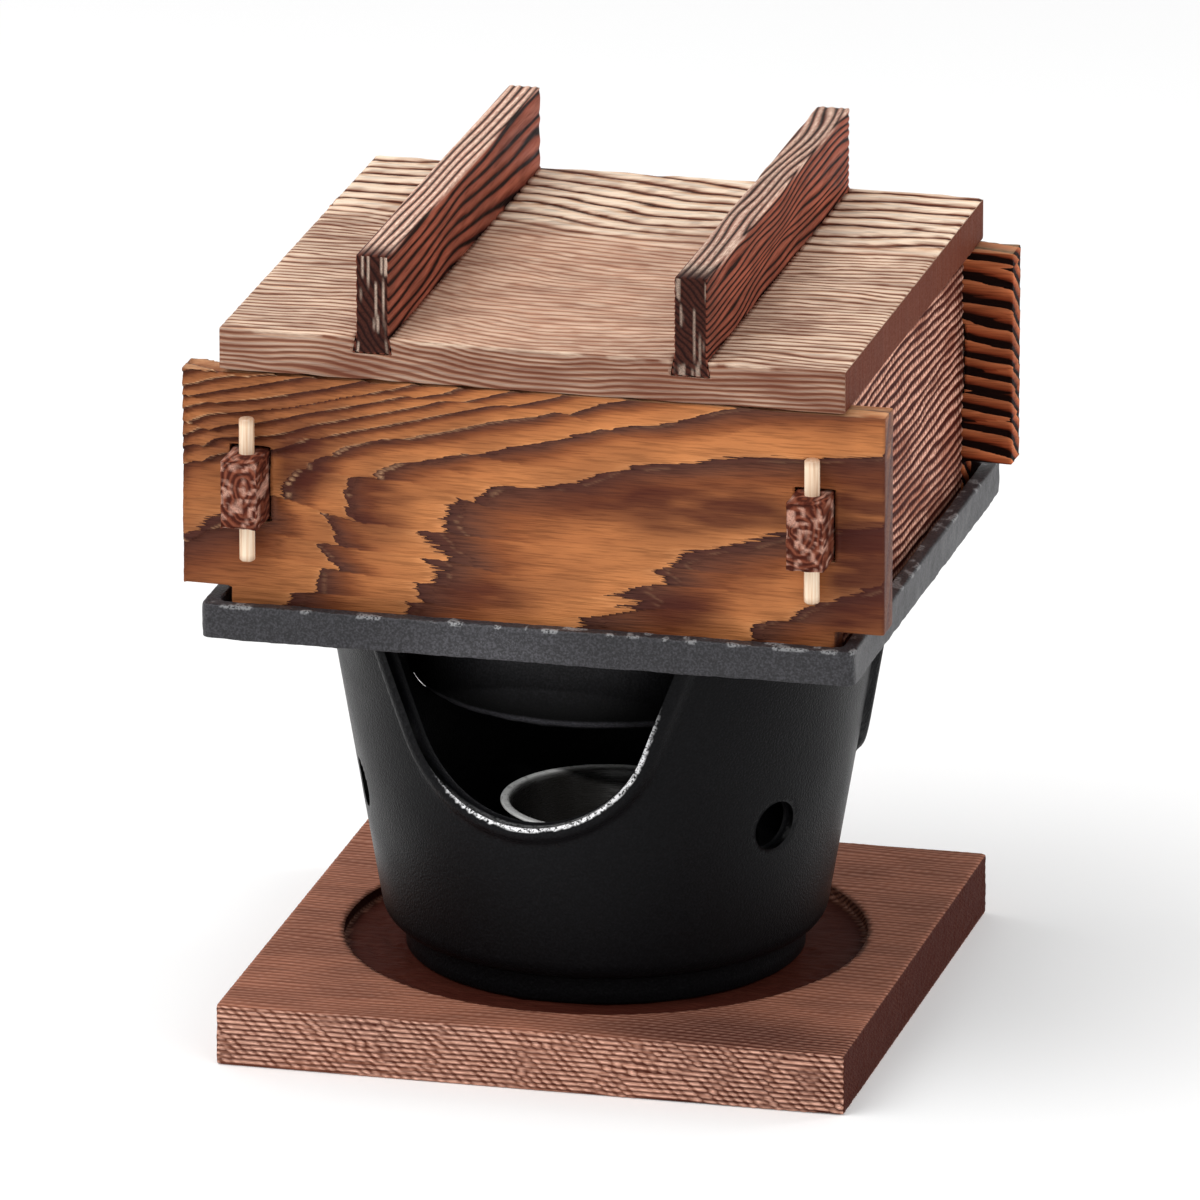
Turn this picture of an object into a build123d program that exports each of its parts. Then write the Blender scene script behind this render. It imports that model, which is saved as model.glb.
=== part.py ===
from build123d import *
import os
from math import acos, cos, radians, sin, tan

# A table-top steaming set. A square cedar board carries a round cast stove with a dish for solid
# fuel. A cast pan with a round water well stands on the stove's lugs, and a pegged cedar box with
# a slatted rack and a lid stands inside the pan's rim.
#
# Millimetres and degrees. The origin is the centre of the base board's underside. +Z is up, the
# stove's large arch faces -Y, and +X is to the right of someone who looks into that arch.

# Base board
base_side = 150.0
base_thickness = 15.0
recess_depth = 3.0
recess_clearance = 14.5  # bare ring of recess round the stove's foot

# Stove: a tapered cup, cast in one with its foot ring, beads and lugs
stove_turn = -5.0  # it stands loose, turned a little towards -X
stove_height = 88.5  # foot to crown
shoulder_radius = 53.2  # outside of the wall at shoulder_height
shoulder_height = 15.5
edge_height = 11.6  # where the straight taper ends and turns under
shoulder_curve = 6.0  # radius of that turn
stove_taper = 9.65  # lean of the wall from upright
stove_wall = 3.5
stove_floor = 5.0
stove_floor_round = 9.0
foot_inset = 6.2  # foot ring inside the shoulder
foot_width = 5.0
foot_hollow = 2.0  # floor's underside above the foot
vent_radius = 6.0
vent_height = 42.4
vent_angles = (-62.0, 62.0, 180.0)
bead_proud = 2.0

# Arches, open to the crown: angle from the front, sill height, sill radius, flare, bead width
front_arch = (0.0, 46.7, 29.0, 20.6, 4.0)
side_arches = ((-120.0, 48.0, 14.0, 8.0, 3.4), (120.0, 48.0, 14.0, 8.0, 3.4))

# Lugs that the pan stands on
lug_angles = (-68.0, 68.0, -158.0, 158.0)
lug_height = 4.3
lug_length = 8.0
lug_width = 7.0
lug_root = 6.0  # how far each lug runs down the wall
lug_setback = 1.0  # from the crown's outer edge

# Fuel dish and its seat on the stove's floor
dish_base_radius = 19.5
dish_flare = 3.7  # from the base out to the foot of the lip
dish_height = 20.3
dish_wall = 0.8
dish_lip = 1.6
seat_height = 8.0
seat_clearance = 1.0
seat_ring_width = 2.0
seat_ring_height = 1.5

# Water pan: square tray with an upstanding rim and a round well
pan_side = 155.0
pan_height = 8.7
pan_wall = 4.0
pan_floor = 3.0
pan_corner = 2.5
pan_edge_round = 0.8
well_clearance = 9.6  # between the well and the stove's lugs
well_depth = 27.3
well_wall = 3.0
well_round = 7.0

# Steamer box: end boards with ears at the front and back, side boards with through tenons
box_clearance = 2.0  # inside the pan's rim, all round
box_height = 60.5
end_board_thickness = 9.1
side_board_thickness = 9.5
ear_length = 11.6
ear_clearance = 2.2  # above the pan's rim
tenon_height = 17.0
tenon_rise = 25.2
tenon_proud = 11.0
peg_radius = 1.9
peg_fit = 0.05  # radial clearance in the tenon
peg_gap = 1.0  # between peg and board
peg_above = 8.0
peg_below = 9.3

# Slatted rack on two ledgers inside the box
ledger_width = 7.0
ledger_height = 7.0
ledger_rise = 7.0
ledger_end_gap = 1.0
rack_clearance = 1.0
bearer_width = 8.0
bearer_height = 6.0
bearer_inset = 18.0
slat_count = 9
slat_width = 10.0
slat_thickness = 5.0
pin_radius = 0.9
pin_depth = 3.0  # into the bearer

# Lid: a panel with two upright cleats let into dovetailed grooves
lid_thickness = 10.5
lid_overhang_x = 2.5
lid_overhang_y = 0.5
cleat_spacing = 75.0
cleat_thickness = 8.0
cleat_height = 19.6  # above the panel
cleat_let_in = 4.0
cleat_dovetail = 0.6  # how much wider each side of the foot is

wood_edge = 0.6  # bevel on the edges of the wood

# Levels and sizes that follow from the values above
recess_floor = base_thickness - recess_depth
foot_radius = shoulder_radius - foot_inset
recess_radius = foot_radius + recess_clearance
crown = recess_floor + stove_height
taper_slope = tan(radians(stove_taper))
crown_radius = shoulder_radius + (stove_height - shoulder_height) * taper_slope
wall_run = stove_wall / cos(radians(stove_taper))  # the wall measured level
floor_top = recess_floor + foot_hollow + stove_floor
seat_top = floor_top + seat_height
lug_outer = crown_radius - lug_setback
lug_inner = lug_outer - lug_length

pan_under = crown + lug_height
pan_top = pan_under + pan_height
tray_floor = pan_under + pan_floor
well_radius = lug_inner - well_clearance
well_under = pan_under - well_depth

box_half = pan_side / 2 - pan_wall - box_clearance
box_top = tray_floor + box_height
inner_half_x = box_half - side_board_thickness
inner_half_y = box_half - end_board_thickness
ear_half = box_half + ear_length
ear_under = pan_top + ear_clearance
tenon_x = box_half - side_board_thickness / 2
tenon_low = tray_floor + tenon_rise
tenon_high = tenon_low + tenon_height
peg_y = box_half + peg_gap + peg_radius

ledger_top = tray_floor + ledger_rise + ledger_height
bearer_top = ledger_top + bearer_height
slat_top = bearer_top + slat_thickness
rack_half_x = inner_half_x - rack_clearance
rack_half_y = inner_half_y - rack_clearance
bearer_y = rack_half_y - bearer_inset
slat_pitch = (2 * rack_half_x - slat_width) / (slat_count - 1)
slat_x = [-rack_half_x + slat_width / 2 + i * slat_pitch for i in range(slat_count)]

lid_half_x = box_half + lid_overhang_x
lid_half_y = box_half + lid_overhang_y
lid_top = box_top + lid_thickness


def block(x, y, z):
    """A plain block between two limits on each axis."""
    middle = ((x[0] + x[1]) / 2, (y[0] + y[1]) / 2, (z[0] + z[1]) / 2)
    return Pos(*middle) * Box(x[1] - x[0], y[1] - y[0], z[1] - z[0])


def plank(x, y, z):
    """A block of wood with its edges bevelled."""
    wood = block(x, y, z)
    return chamfer(wood.edges(), wood_edge)


def turned(*outline):
    """A solid of revolution about Z from (radius, height) points, closed along the axis."""
    line = Polyline(*[(r, 0, z) for r, z in outline], close=True)
    return revolve(make_face(line), Axis.Z)


def base_board():
    board = plank((-base_side / 2, base_side / 2), (-base_side / 2, base_side / 2), (0, base_thickness))
    recess = Pos(0, 0, recess_floor) * Cylinder(
        recess_radius, recess_depth, align=(Align.CENTER, Align.CENTER, Align.MIN)
    )
    return board - recess


# Stove


def wall_radius(level):
    """Outer radius of the straight taper at a height above the recess floor."""
    return shoulder_radius + (level - shoulder_height) * taper_slope


def stove_cup():
    """The cup without openings: foot ring, rounded shoulder, tapered wall, floor and dish seat."""
    lean = radians(stove_taper)
    centre_r = wall_radius(edge_height) - shoulder_curve * cos(lean)
    centre_z = recess_floor + edge_height + shoulder_curve * sin(lean)
    foot_turn = acos((foot_radius - centre_r) / shoulder_curve)

    def on_shoulder(turn):
        return (centre_r + shoulder_curve * cos(turn), 0, centre_z - shoulder_curve * sin(turn))

    shoulder_end = on_shoulder(foot_turn)
    shoulder = ThreePointArc(on_shoulder(lean), on_shoulder((lean + foot_turn) / 2), shoulder_end)
    rest = Polyline(
        shoulder_end,
        (foot_radius, 0, recess_floor),
        (foot_radius - foot_width, 0, recess_floor),
        (foot_radius - foot_width, 0, recess_floor + foot_hollow),
        (0, 0, recess_floor + foot_hollow),
        (0, 0, crown),
        (crown_radius, 0, crown),
        on_shoulder(lean),
    )
    cup = revolve(make_face([shoulder, rest]), Axis.Z)

    hollow_base = wall_radius(floor_top - recess_floor) - wall_run
    hollow_rim = crown_radius - wall_run + taper_slope
    hollow = turned((0, floor_top), (hollow_base, floor_top), (hollow_rim, crown + 1), (0, crown + 1))
    hollow = fillet(hollow.edges().sort_by(Axis.Z)[0], stove_floor_round)

    ring_inner = dish_base_radius + seat_clearance
    ring_outer = ring_inner + seat_ring_width
    ring_top = seat_top + seat_ring_height
    seat = turned(
        (0, floor_top),
        (ring_outer, floor_top),
        (ring_outer, ring_top),
        (ring_inner, ring_top),
        (ring_inner, seat_top),
        (0, seat_top),
    )
    return cup - hollow + seat


def arch_prism(arch, margin):
    """A radial prism with an arch's outline, grown by a margin: a round sill and flared sides."""
    angle, sill, radius, flare, _ = arch
    lean = radians(flare)
    centre_z = recess_floor + sill + radius
    radius = radius + margin
    over = crown + lug_height
    side = (radius * cos(lean), centre_z - radius * sin(lean))
    top = (side[0] + (over - side[1]) * tan(lean), over)
    sill_arc = ThreePointArc((-side[0], 0, side[1]), (0, 0, centre_z - radius), (side[0], 0, side[1]))
    sides = Polyline(
        (side[0], 0, side[1]), (top[0], 0, top[1]), (-top[0], 0, top[1]), (-side[0], 0, side[1])
    )
    face = make_face([sill_arc, sides])
    return Rot(0, 0, angle) * extrude(face, amount=2 * crown_radius, dir=(0, -1, 0))


def bead_skin():
    """The layer outside the taper that the arches' beads are cut from."""
    low = wall_radius(0)
    return turned(
        (low - wall_run / 2, recess_floor),
        (low + bead_proud, recess_floor),
        (crown_radius + bead_proud, crown),
        (crown_radius - wall_run / 2, crown),
    )


def lug(angle):
    bar = block(
        (-lug_width / 2, lug_width / 2), (-lug_outer, -lug_inner), (crown - lug_root, crown + lug_height)
    )
    return Rot(0, 0, angle) * bar


def vent(angle):
    bore = Cylinder(vent_radius, crown_radius, align=(Align.CENTER, Align.CENTER, Align.MIN))
    return Rot(0, 0, angle) * Pos(0, 0, recess_floor + vent_height) * Rot(90, 0, 0) * bore


def stove_body():
    arches = (front_arch,) + side_arches
    body = stove_cup()
    skin = bead_skin()
    for arch in arches:
        body = body + (skin & arch_prism(arch, arch[4]))
    for angle in lug_angles:
        body = body + lug(angle)
    for arch in arches:
        body = body - arch_prism(arch, 0)
    for angle in vent_angles:
        body = body - vent(angle)
    return Rot(0, 0, stove_turn) * body


def fuel_dish():
    """A thin spun cup with a flat lip."""
    rim = dish_base_radius + dish_flare
    lip_under = seat_top + dish_height - dish_wall
    top = seat_top + dish_height
    return turned(
        (0, seat_top),
        (dish_base_radius, seat_top),
        (rim, lip_under),
        (rim + dish_lip, lip_under),
        (rim + dish_lip, top),
        (rim - dish_wall, top),
        (dish_base_radius - dish_wall, seat_top + dish_wall),
        (0, seat_top + dish_wall),
    )


def water_pan():
    half = pan_side / 2
    tray = block((-half, half), (-half, half), (pan_under, pan_top))
    tray = fillet(tray.edges().filter_by(Axis.Z), pan_corner)
    tray = fillet(tray.faces().sort_by(Axis.Z)[-1].edges(), pan_edge_round)
    inner = half - pan_wall
    tray = tray - block((-inner, inner), (-inner, inner), (tray_floor, pan_top))
    upwards = (Align.CENTER, Align.CENTER, Align.MIN)
    well = Pos(0, 0, well_under) * Cylinder(well_radius, well_depth, align=upwards)
    well = fillet(well.edges().sort_by(Axis.Z)[0], well_round)
    hollow_depth = tray_floor - well_under - well_wall
    hollow = Pos(0, 0, well_under + well_wall) * Cylinder(
        well_radius - well_wall, hollow_depth, align=upwards
    )
    hollow = fillet(hollow.edges().sort_by(Axis.Z)[0], well_round - well_wall)
    return tray + well - hollow


# Steamer box


def tenon(side, reach):
    """A bar through the end boards at the height of the tenons, reach mm from the middle."""
    width = side_board_thickness / 2
    x = side * tenon_x
    return block((x - width, x + width), (-reach, reach), (tenon_low, tenon_high))


def end_board(front):
    """The front (-1) or back (+1) board: full height between the rim, ears above the rim."""
    y = sorted((front * inner_half_y, front * box_half))
    board = plank((-ear_half, ear_half), y, (tray_floor, box_top))
    for side in (-1, 1):
        notch_x = sorted((side * box_half, side * (ear_half + 1)))
        board = board - block(notch_x, (y[0] - 1, y[1] + 1), (tray_floor - 1, ear_under))
        board = board - tenon(side, box_half + 1)
    return board


def side_board(side):
    """The left (-1) or right (+1) board with a pegged tenon at each end."""
    x = sorted((side * inner_half_x, side * box_half))
    board = plank(x, (-inner_half_y, inner_half_y), (tray_floor, box_top))
    board = board + tenon(side, box_half + tenon_proud)
    for front in (-1, 1):
        hole = Pos(side * tenon_x, front * peg_y, (tenon_low + tenon_high) / 2)
        board = board - hole * Cylinder(peg_radius + peg_fit, 2 * tenon_height)
    return board


def peg(side, front):
    """A round bamboo peg through one tenon."""
    length = peg_below + tenon_height + peg_above
    rod = Cylinder(peg_radius, length, align=(Align.CENTER, Align.CENTER, Align.MIN))
    rod = chamfer(rod.edges().filter_by(GeomType.CIRCLE), peg_radius / 5)
    return Pos(side * tenon_x, front * peg_y, tenon_low - peg_below) * rod


def ledger(side):
    """A square batten on the inside of a side board."""
    x = sorted((side * (inner_half_x - ledger_width), side * inner_half_x))
    reach = inner_half_y - ledger_end_gap
    return plank(x, (-reach, reach), (ledger_top - ledger_height, ledger_top))


# Rack


def rack_pin(x, y, grow=0.0):
    """A bamboo pin from the top of a slat into a bearer."""
    length = slat_thickness + pin_depth
    centre = Pos(x, y, slat_top - length / 2)
    return centre * Cylinder(pin_radius, length + grow)


def rack_bearer(front):
    y = front * bearer_y
    width = bearer_width / 2
    bearer = plank((-rack_half_x, rack_half_x), (y - width, y + width), (ledger_top, bearer_top))
    for x in slat_x:
        bearer = bearer - rack_pin(x, y)
    return bearer


def rack_slat(x):
    width = slat_width / 2
    slat = plank((x - width, x + width), (-rack_half_y, rack_half_y), (bearer_top, slat_top))
    for front in (-1, 1):
        slat = slat - rack_pin(x, front * bearer_y)
    return slat


def rack_pins():
    return Compound(children=[rack_pin(x, front * bearer_y) for x in slat_x for front in (-1, 1)])


# Lid


def cleat_section(side, top):
    """The end view of a cleat: an upright batten whose foot flares into the panel."""
    x = side * cleat_spacing / 2
    narrow = cleat_thickness / 2
    wide = narrow + cleat_dovetail
    foot = lid_top - cleat_let_in
    outline = Polyline(
        (x - wide, 0, foot),
        (x + wide, 0, foot),
        (x + narrow, 0, lid_top),
        (x + narrow, 0, top),
        (x - narrow, 0, top),
        (x - narrow, 0, lid_top),
        close=True,
    )
    return make_face(outline)


def lid_cleat(side):
    section = cleat_section(side, lid_top + cleat_height)
    return extrude(section, amount=lid_half_y, dir=(0, 1, 0), both=True)


def lid_panel():
    panel = plank((-lid_half_x, lid_half_x), (-lid_half_y, lid_half_y), (box_top, lid_top))
    for side in (-1, 1):
        panel = panel - extrude(cleat_section(side, lid_top + 1), amount=lid_half_y + 1, dir=(0, 1, 0), both=True)
    return panel


nodes = {
    "base_board": base_board(),
    "stove_body": stove_body(),
    "fuel_dish": fuel_dish(),
    "water_pan": water_pan(),
    "front_board": end_board(-1),
    "back_board": end_board(1),
    "left_side_board": side_board(-1),
    "right_side_board": side_board(1),
    "ledger_left": ledger(-1),
    "ledger_right": ledger(1),
    "rack_bearer_front": rack_bearer(-1),
    "rack_bearer_back": rack_bearer(1),
    "rack_pins": rack_pins(),
    "lid_panel": lid_panel(),
    "lid_cleat_left": lid_cleat(-1),
    "lid_cleat_right": lid_cleat(1),
}
for front_name, front in (("front", -1), ("back", 1)):
    for side_name, side in (("left", -1), ("right", 1)):
        nodes[f"peg_{front_name}_{side_name}"] = peg(side, front)
for number, x in enumerate(slat_x, start=1):
    nodes[f"rack_slat_{number}"] = rack_slat(x)

os.makedirs("parts", exist_ok=True)
for name, shape in nodes.items():
    export_step(shape, f"parts/{name}.step")
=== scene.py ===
import bpy
import numpy as np
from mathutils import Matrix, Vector


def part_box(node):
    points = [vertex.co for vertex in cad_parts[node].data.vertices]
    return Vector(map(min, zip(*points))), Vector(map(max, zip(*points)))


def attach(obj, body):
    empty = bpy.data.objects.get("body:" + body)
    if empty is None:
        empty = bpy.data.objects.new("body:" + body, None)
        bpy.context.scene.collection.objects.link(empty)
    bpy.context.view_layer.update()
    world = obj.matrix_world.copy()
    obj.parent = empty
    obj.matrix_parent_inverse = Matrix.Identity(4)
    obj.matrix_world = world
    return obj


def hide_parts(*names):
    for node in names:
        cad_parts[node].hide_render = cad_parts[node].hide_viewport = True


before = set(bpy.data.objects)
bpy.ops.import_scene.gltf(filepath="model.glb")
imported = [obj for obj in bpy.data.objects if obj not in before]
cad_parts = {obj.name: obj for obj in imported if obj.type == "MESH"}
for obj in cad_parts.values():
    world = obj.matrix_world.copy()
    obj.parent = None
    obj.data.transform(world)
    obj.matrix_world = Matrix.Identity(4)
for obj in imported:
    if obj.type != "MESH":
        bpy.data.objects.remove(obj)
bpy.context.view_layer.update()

# Base board
# A square board of cedar, scorched and brushed so that its grain stands in fine ridges. A router
# cut the round recess that keeps the stove in its place. Everything else of the set stands on it.


def box_mm(node):
    """Lowest and highest corner of a CAD node, in millimetres."""
    low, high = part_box(node)
    return np.array(low) * 1000, np.array(high) * 1000


def smooth(start, end, value):
    """0 before start, 1 after end, and an S of three squares less two cubes between them."""
    part = np.clip((value - start) / (end - start), 0, 1)
    return part * part * (3 - 2 * part)


def scrambled(i, j, k, seed):
    """Repeatable values from 0 to 1 at whole numbers: products of large primes, shifted and mixed."""
    mixed = (i * 374761393 + j * 668265263 + k * 2147483647 + seed * 1274126177) & 0xFFFFFFFF
    mixed = ((mixed ^ (mixed >> 13)) * 1274126177) & 0xFFFFFFFF
    return ((mixed ^ (mixed >> 16)) & 0xFFFF) / 65535.0


def noise(x, y, z, seed):
    """Value noise, 0 to 1: scrambled corner values of a unit cell, blended smoothly on each axis."""
    place = np.broadcast_arrays(x, y, z)
    cell = [np.floor(a).astype(np.int64) for a in place]
    part = [smooth(0, 1, a - c) for a, c in zip(place, cell)]
    total = 0.0
    for corner in range(8):
        step = (corner & 1, corner >> 1 & 1, corner >> 2)
        share = [p if s else 1 - p for p, s in zip(part, step)]
        value = scrambled(cell[0] + step[0], cell[1] + step[1], cell[2] + step[2], seed)
        total = total + share[0] * share[1] * share[2] * value
    return total


def lines(step, *limits):
    """Even grid lines about step apart that also hit every limit."""
    runs = [
        np.linspace(a, b, max(1, round((b - a) / step)) + 1)[:-1] for a, b in zip(limits, limits[1:])
    ]
    return np.append(np.concatenate(runs), limits[-1])


def inside(grid, low, high):
    """Which cells of a grid have their middle in a block."""
    middles = [(a[1:] + a[:-1]) / 2 for a in grid]
    x, y, z = [(m > a) & (m < b) for m, a, b in zip(middles, low, high)]
    return x[:, None, None] & y[None, :, None] & z[None, None, :]


def skin(grid, full):
    """The faces between full and empty cells, as corner points and quads that look outwards.

    Cells are padded with empty ones, and their difference along each axis marks the faces. A face's
    corners go round from the next axis to the one after, or the other way on the low side.
    """
    padded = np.pad(full, 1).astype(np.int8)
    shape = [len(a) for a in grid]
    quads = []
    for axis in range(3):
        change = np.diff(padded, axis=axis)
        for sign in (-1, 1):
            spot = np.argwhere(change == -sign)
            spot -= 1
            spot[:, axis] += 1
            across, up = np.eye(3, dtype=int)[[(axis + 1) % 3, (axis + 2) % 3]]
            corners = [spot, spot + across, spot + across + up, spot + up][::sign]
            quads.append(np.stack([np.ravel_multi_index(c.T, shape) for c in corners], 1))
    used, quads = np.unique(np.concatenate(quads), return_inverse=True)
    i, j, k = np.unravel_index(used, shape)
    return np.stack([grid[0][i], grid[1][j], grid[2][k]], 1), quads.reshape(-1, 4)


def eased(points, blocks, radius):
    """Rounds the edges of blocks: a point goes back to radius from the block's inner core.

    Where a point belongs to several blocks, the block that moves it least is followed.
    """
    best = np.full(len(points), 1e9)
    moved = points.copy()
    for low, high in blocks:
        low, high = np.array(low), np.array(high)
        core = np.clip(points, low + radius, high - radius)
        away = points - core
        far = np.linalg.norm(away, axis=1)
        target = core + away * (np.minimum(1, radius / np.maximum(far, 1e-9)))[:, None]
        shift = np.linalg.norm(target - points, axis=1)
        belongs = np.all((points > low - 0.01) & (points < high + 0.01), axis=1) & (shift < best)
        moved[belongs] = target[belongs]
        best[belongs] = shift[belongs]
    return moved


def facing(points, quads):
    """Unit normals of points: the crossed diagonals of their quads, added up."""
    a, b, c, d = points[quads].transpose(1, 0, 2)
    cross = np.repeat(np.cross(c - a, d - b), 4, axis=0)
    total = [np.bincount(quads.ravel(), cross[:, axis], len(points)) for axis in range(3)]
    total = np.stack(total, 1)
    return total / np.maximum(np.linalg.norm(total, axis=1), 1e-12)[:, None]


def in_scene(name, data):
    """An object that shows a mesh, lamp or camera, linked to the scene."""
    shown = bpy.data.objects.new(name, data)
    bpy.context.collection.objects.link(shown)
    return shown


def add_piece(name, node, body, points, quads, finish, **attributes):
    """A mesh in millimetres becomes a piece that stands for a CAD node and rides on its body."""
    mesh = bpy.data.meshes.new(name)
    mesh.vertices.add(len(points))
    mesh.vertices.foreach_set("co", (points / 1000).ravel())
    mesh.loops.add(quads.size)
    mesh.loops.foreach_set("vertex_index", quads.ravel().astype(np.int32))
    mesh.polygons.add(len(quads))
    mesh.polygons.foreach_set("loop_start", np.arange(0, quads.size, 4, dtype=np.int32))
    mesh.update(calc_edges=True)
    mesh.shade_smooth()
    for key, values in attributes.items():
        values = np.broadcast_to(values, len(points)).astype(np.float32)
        mesh.attributes.new(key, "FLOAT", "POINT").data.foreach_set("value", values)
    mesh.materials.append(finish)
    piece = in_scene(name, mesh)
    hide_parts(node)
    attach(piece, body)
    return piece


class Finish:
    """A material being made: a Principled shader, and short ways to wire nodes to it."""

    def __init__(self, name):
        """A new material with a Principled shader and its Object coordinates at hand."""
        self.material = bpy.data.materials.new(name)
        self.material.use_nodes = True
        self.tree = self.material.node_tree
        self.shader = self.tree.nodes["Principled BSDF"]
        self.place = self.add("TexCoord").outputs["Object"]

    def add(self, kind, **settings):
        """A new shader node of a kind, with its settings."""
        node = self.tree.nodes.new("ShaderNode" + kind)
        for key, value in settings.items():
            setattr(node, key, value)
        return node

    def plug(self, socket, value):
        """A number or colour is set on the socket, and another node's output is linked to it."""
        if isinstance(value, bpy.types.NodeSocket):
            self.tree.links.new(value, socket)
        else:
            socket.default_value = (*value, 1.0) if socket.type == "RGBA" else value

    def math(self, operation, *values):
        """One sum, product or other operation on numbers or outputs."""
        node = self.add("Math", operation=operation)
        for socket, value in zip(node.inputs, values):
            self.plug(socket, value)
        return node.outputs[0]

    def noise(self, per_mm, detail=2.0):
        """Noise on Object coordinates, with its number of features per millimetre on each axis."""
        stretch = self.add("VectorMath", operation="MULTIPLY")
        self.plug(stretch.inputs[0], self.place)
        self.plug(stretch.inputs[1], [1000 * f for f in per_mm])
        node = self.add("TexNoise")
        self.plug(node.inputs["Vector"], stretch.outputs[0])
        self.plug(node.inputs["Scale"], 1.0)
        self.plug(node.inputs["Detail"], detail)
        return node.outputs["Fac"]

    def ranged(self, value, low, high, to_low, to_high):
        """A value's stretch from low to high, carried in an S curve onto to_low to to_high."""
        node = self.add("MapRange", interpolation_type="SMOOTHSTEP")
        for socket, number in zip(node.inputs, (value, low, high, to_low, to_high)):
            self.plug(socket, number)
        return node.outputs[0]

    def ramp(self, value, stops):
        """The colour at a value, blended straight between the stops on each side of it."""
        node = self.add("ValToRGB")
        self.plug(node.inputs[0], value)
        points = node.color_ramp.elements
        while len(points) < len(stops):
            points.new(1.0)
        for point, (at, colour) in zip(points, stops):
            point.position = at
            point.color = (*colour, 1.0)
        return node.outputs[0]

    def mix(self, share, first, second, how="MIX"):
        """The first colour, taken by share towards the second, or towards their product."""
        node = self.add("Mix", data_type="RGBA", blend_type=how)
        self.plug(node.inputs[0], share)
        self.plug(node.inputs[6], first)
        self.plug(node.inputs[7], second)
        return node.outputs[2]

    def attribute(self, name):
        """A number that the mesh holds at each point."""
        return self.add("Attribute", attribute_name=name).outputs["Fac"]

    def bump(self, height, depth_mm):
        """Tilts the shaded surface as if height raised it by up to depth_mm."""
        node = self.add("Bump")
        self.plug(node.inputs["Height"], height)
        self.plug(node.inputs["Distance"], depth_mm / 1000)
        self.plug(self.shader.inputs["Normal"], node.outputs[0])

    def set(self, **inputs):
        """Plugs the shader's inputs, named with _ for each space."""
        for key, value in inputs.items():
            self.plug(self.shader.inputs[key.replace("_", " ")], value)


def cedar(name, grain, stops, plain, burnt_and_shade, worn_and_glint, rough=0.62, sheen=0.02):
    """Scorched cedar. The ring attribute's fraction runs through the colour stops once a year ring.

    bold fades the rings to the plain colour. A second attribute darkens them to the burnt colour: char, and
    in places painted shade.
    A third lightens them to the worn colour: wear, and in places painted highlights. Fine fibres along the
    grain streak the colour, the roughness and the bump.
    """
    wood = Finish(name)
    along = [0.05 if axis == grain else 1.0 for axis in "xyz"]
    fibre = wood.noise([2.6 * a for a in along], 3.0)
    hair = wood.noise([6.5 * a for a in along], 1.0)
    cloud = wood.noise([0.045 if axis == grain else 0.11 for axis in "xyz"], 2.0)
    jitter = wood.math("MULTIPLY_ADD", fibre, 0.16, wood.attribute("ring"))
    year = wood.math("FRACT", jitter)
    colour = wood.ramp(year, stops)
    colour = wood.mix(wood.attribute("bold"), plain, colour)
    shade = wood.ranged(fibre, 0.25, 0.75, 0.68, 1.22)
    colour = wood.mix(1.0, colour, wood.ramp(shade, [(0.0, (0, 0, 0)), (1.0, (1, 1, 1))]), "MULTIPLY")
    patch = wood.ranged(cloud, 0.3, 0.7, 0.0, 0.35)
    colour = wood.mix(patch, colour, burnt_and_shade)
    dark = wood.math("MULTIPLY", wood.attribute("char"), wood.ranged(fibre, 0.2, 0.6, 1.0, 0.93))
    colour = wood.mix(dark, colour, burnt_and_shade)
    light = wood.math("MULTIPLY", wood.attribute("wear"), wood.ranged(hair, 0.35, 0.65, 0.45, 1.0))
    colour = wood.mix(light, colour, worn_and_glint)
    wood.set(Base_Color=colour, Roughness=wood.ranged(fibre, 0.2, 0.8, rough + 0.14, rough - 0.12))
    wood.set(Specular_IOR_Level=sheen)
    wood.bump(wood.math("MULTIPLY_ADD", hair, 0.5, fibre), 0.12)
    return wood.material


def wood_piece(node, body, grid, full, blocks, edge, look, finish, settle=None):
    """A board cut from grid cells: skinned, eased, then sunk inwards by its look's relief."""
    points, quads = skin(grid, full)
    if settle:
        points = settle(points)
    points = eased(points, blocks, edge)
    normals = facing(points, quads)
    relief, attributes = look(points, normals)
    points = points - normals * np.maximum(relief, 0)[:, None]
    return add_piece(node + "_cedar", node, body, points, quads, finish, **attributes)


def beads(ring, along, pitch):
    """Brushed ridges with a cross ripple: a cosine over each ring times one along the grain."""
    row = np.round(ring)
    shift = 0.37 * row + 0.8 * noise(along / 9, row / 3, 0, 2)
    ridge = 0.5 + 0.5 * np.cos(2 * np.pi * ring)
    ripple = 0.5 + 0.5 * np.cos(2 * np.pi * (along / pitch + shift))
    return ridge, ridge * (0.3 + 0.7 * ripple)


base_low, base_high = box_mm("base_board")
recess_floor = box_mm("stove_body")[0][2]
recess_radius = 61.5
rim_bevel = 0.3
base_grid = (
    lines(1.2, base_low[0], base_high[0]),
    lines(0.5, base_low[1], base_high[1]),
    lines(0.6, base_low[2], recess_floor, base_high[2]),
)
middle_x, middle_y = [(a[1:] + a[:-1]) / 2 for a in base_grid[:2]]
dished = np.hypot(middle_x[:, None], middle_y[None, :]) < recess_radius
base_full = np.ones([len(a) - 1 for a in base_grid], bool)
base_full &= ~(dished[:, :, None] & (base_grid[2][:-1] >= recess_floor - 0.01))
rim_cells = np.pad(dished, 1, constant_values=False)
rim_count = sum(rim_cells[i:i + len(base_grid[0]), j:j + len(base_grid[1])].astype(int)
                for i in (0, 1) for j in (0, 1))


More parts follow.
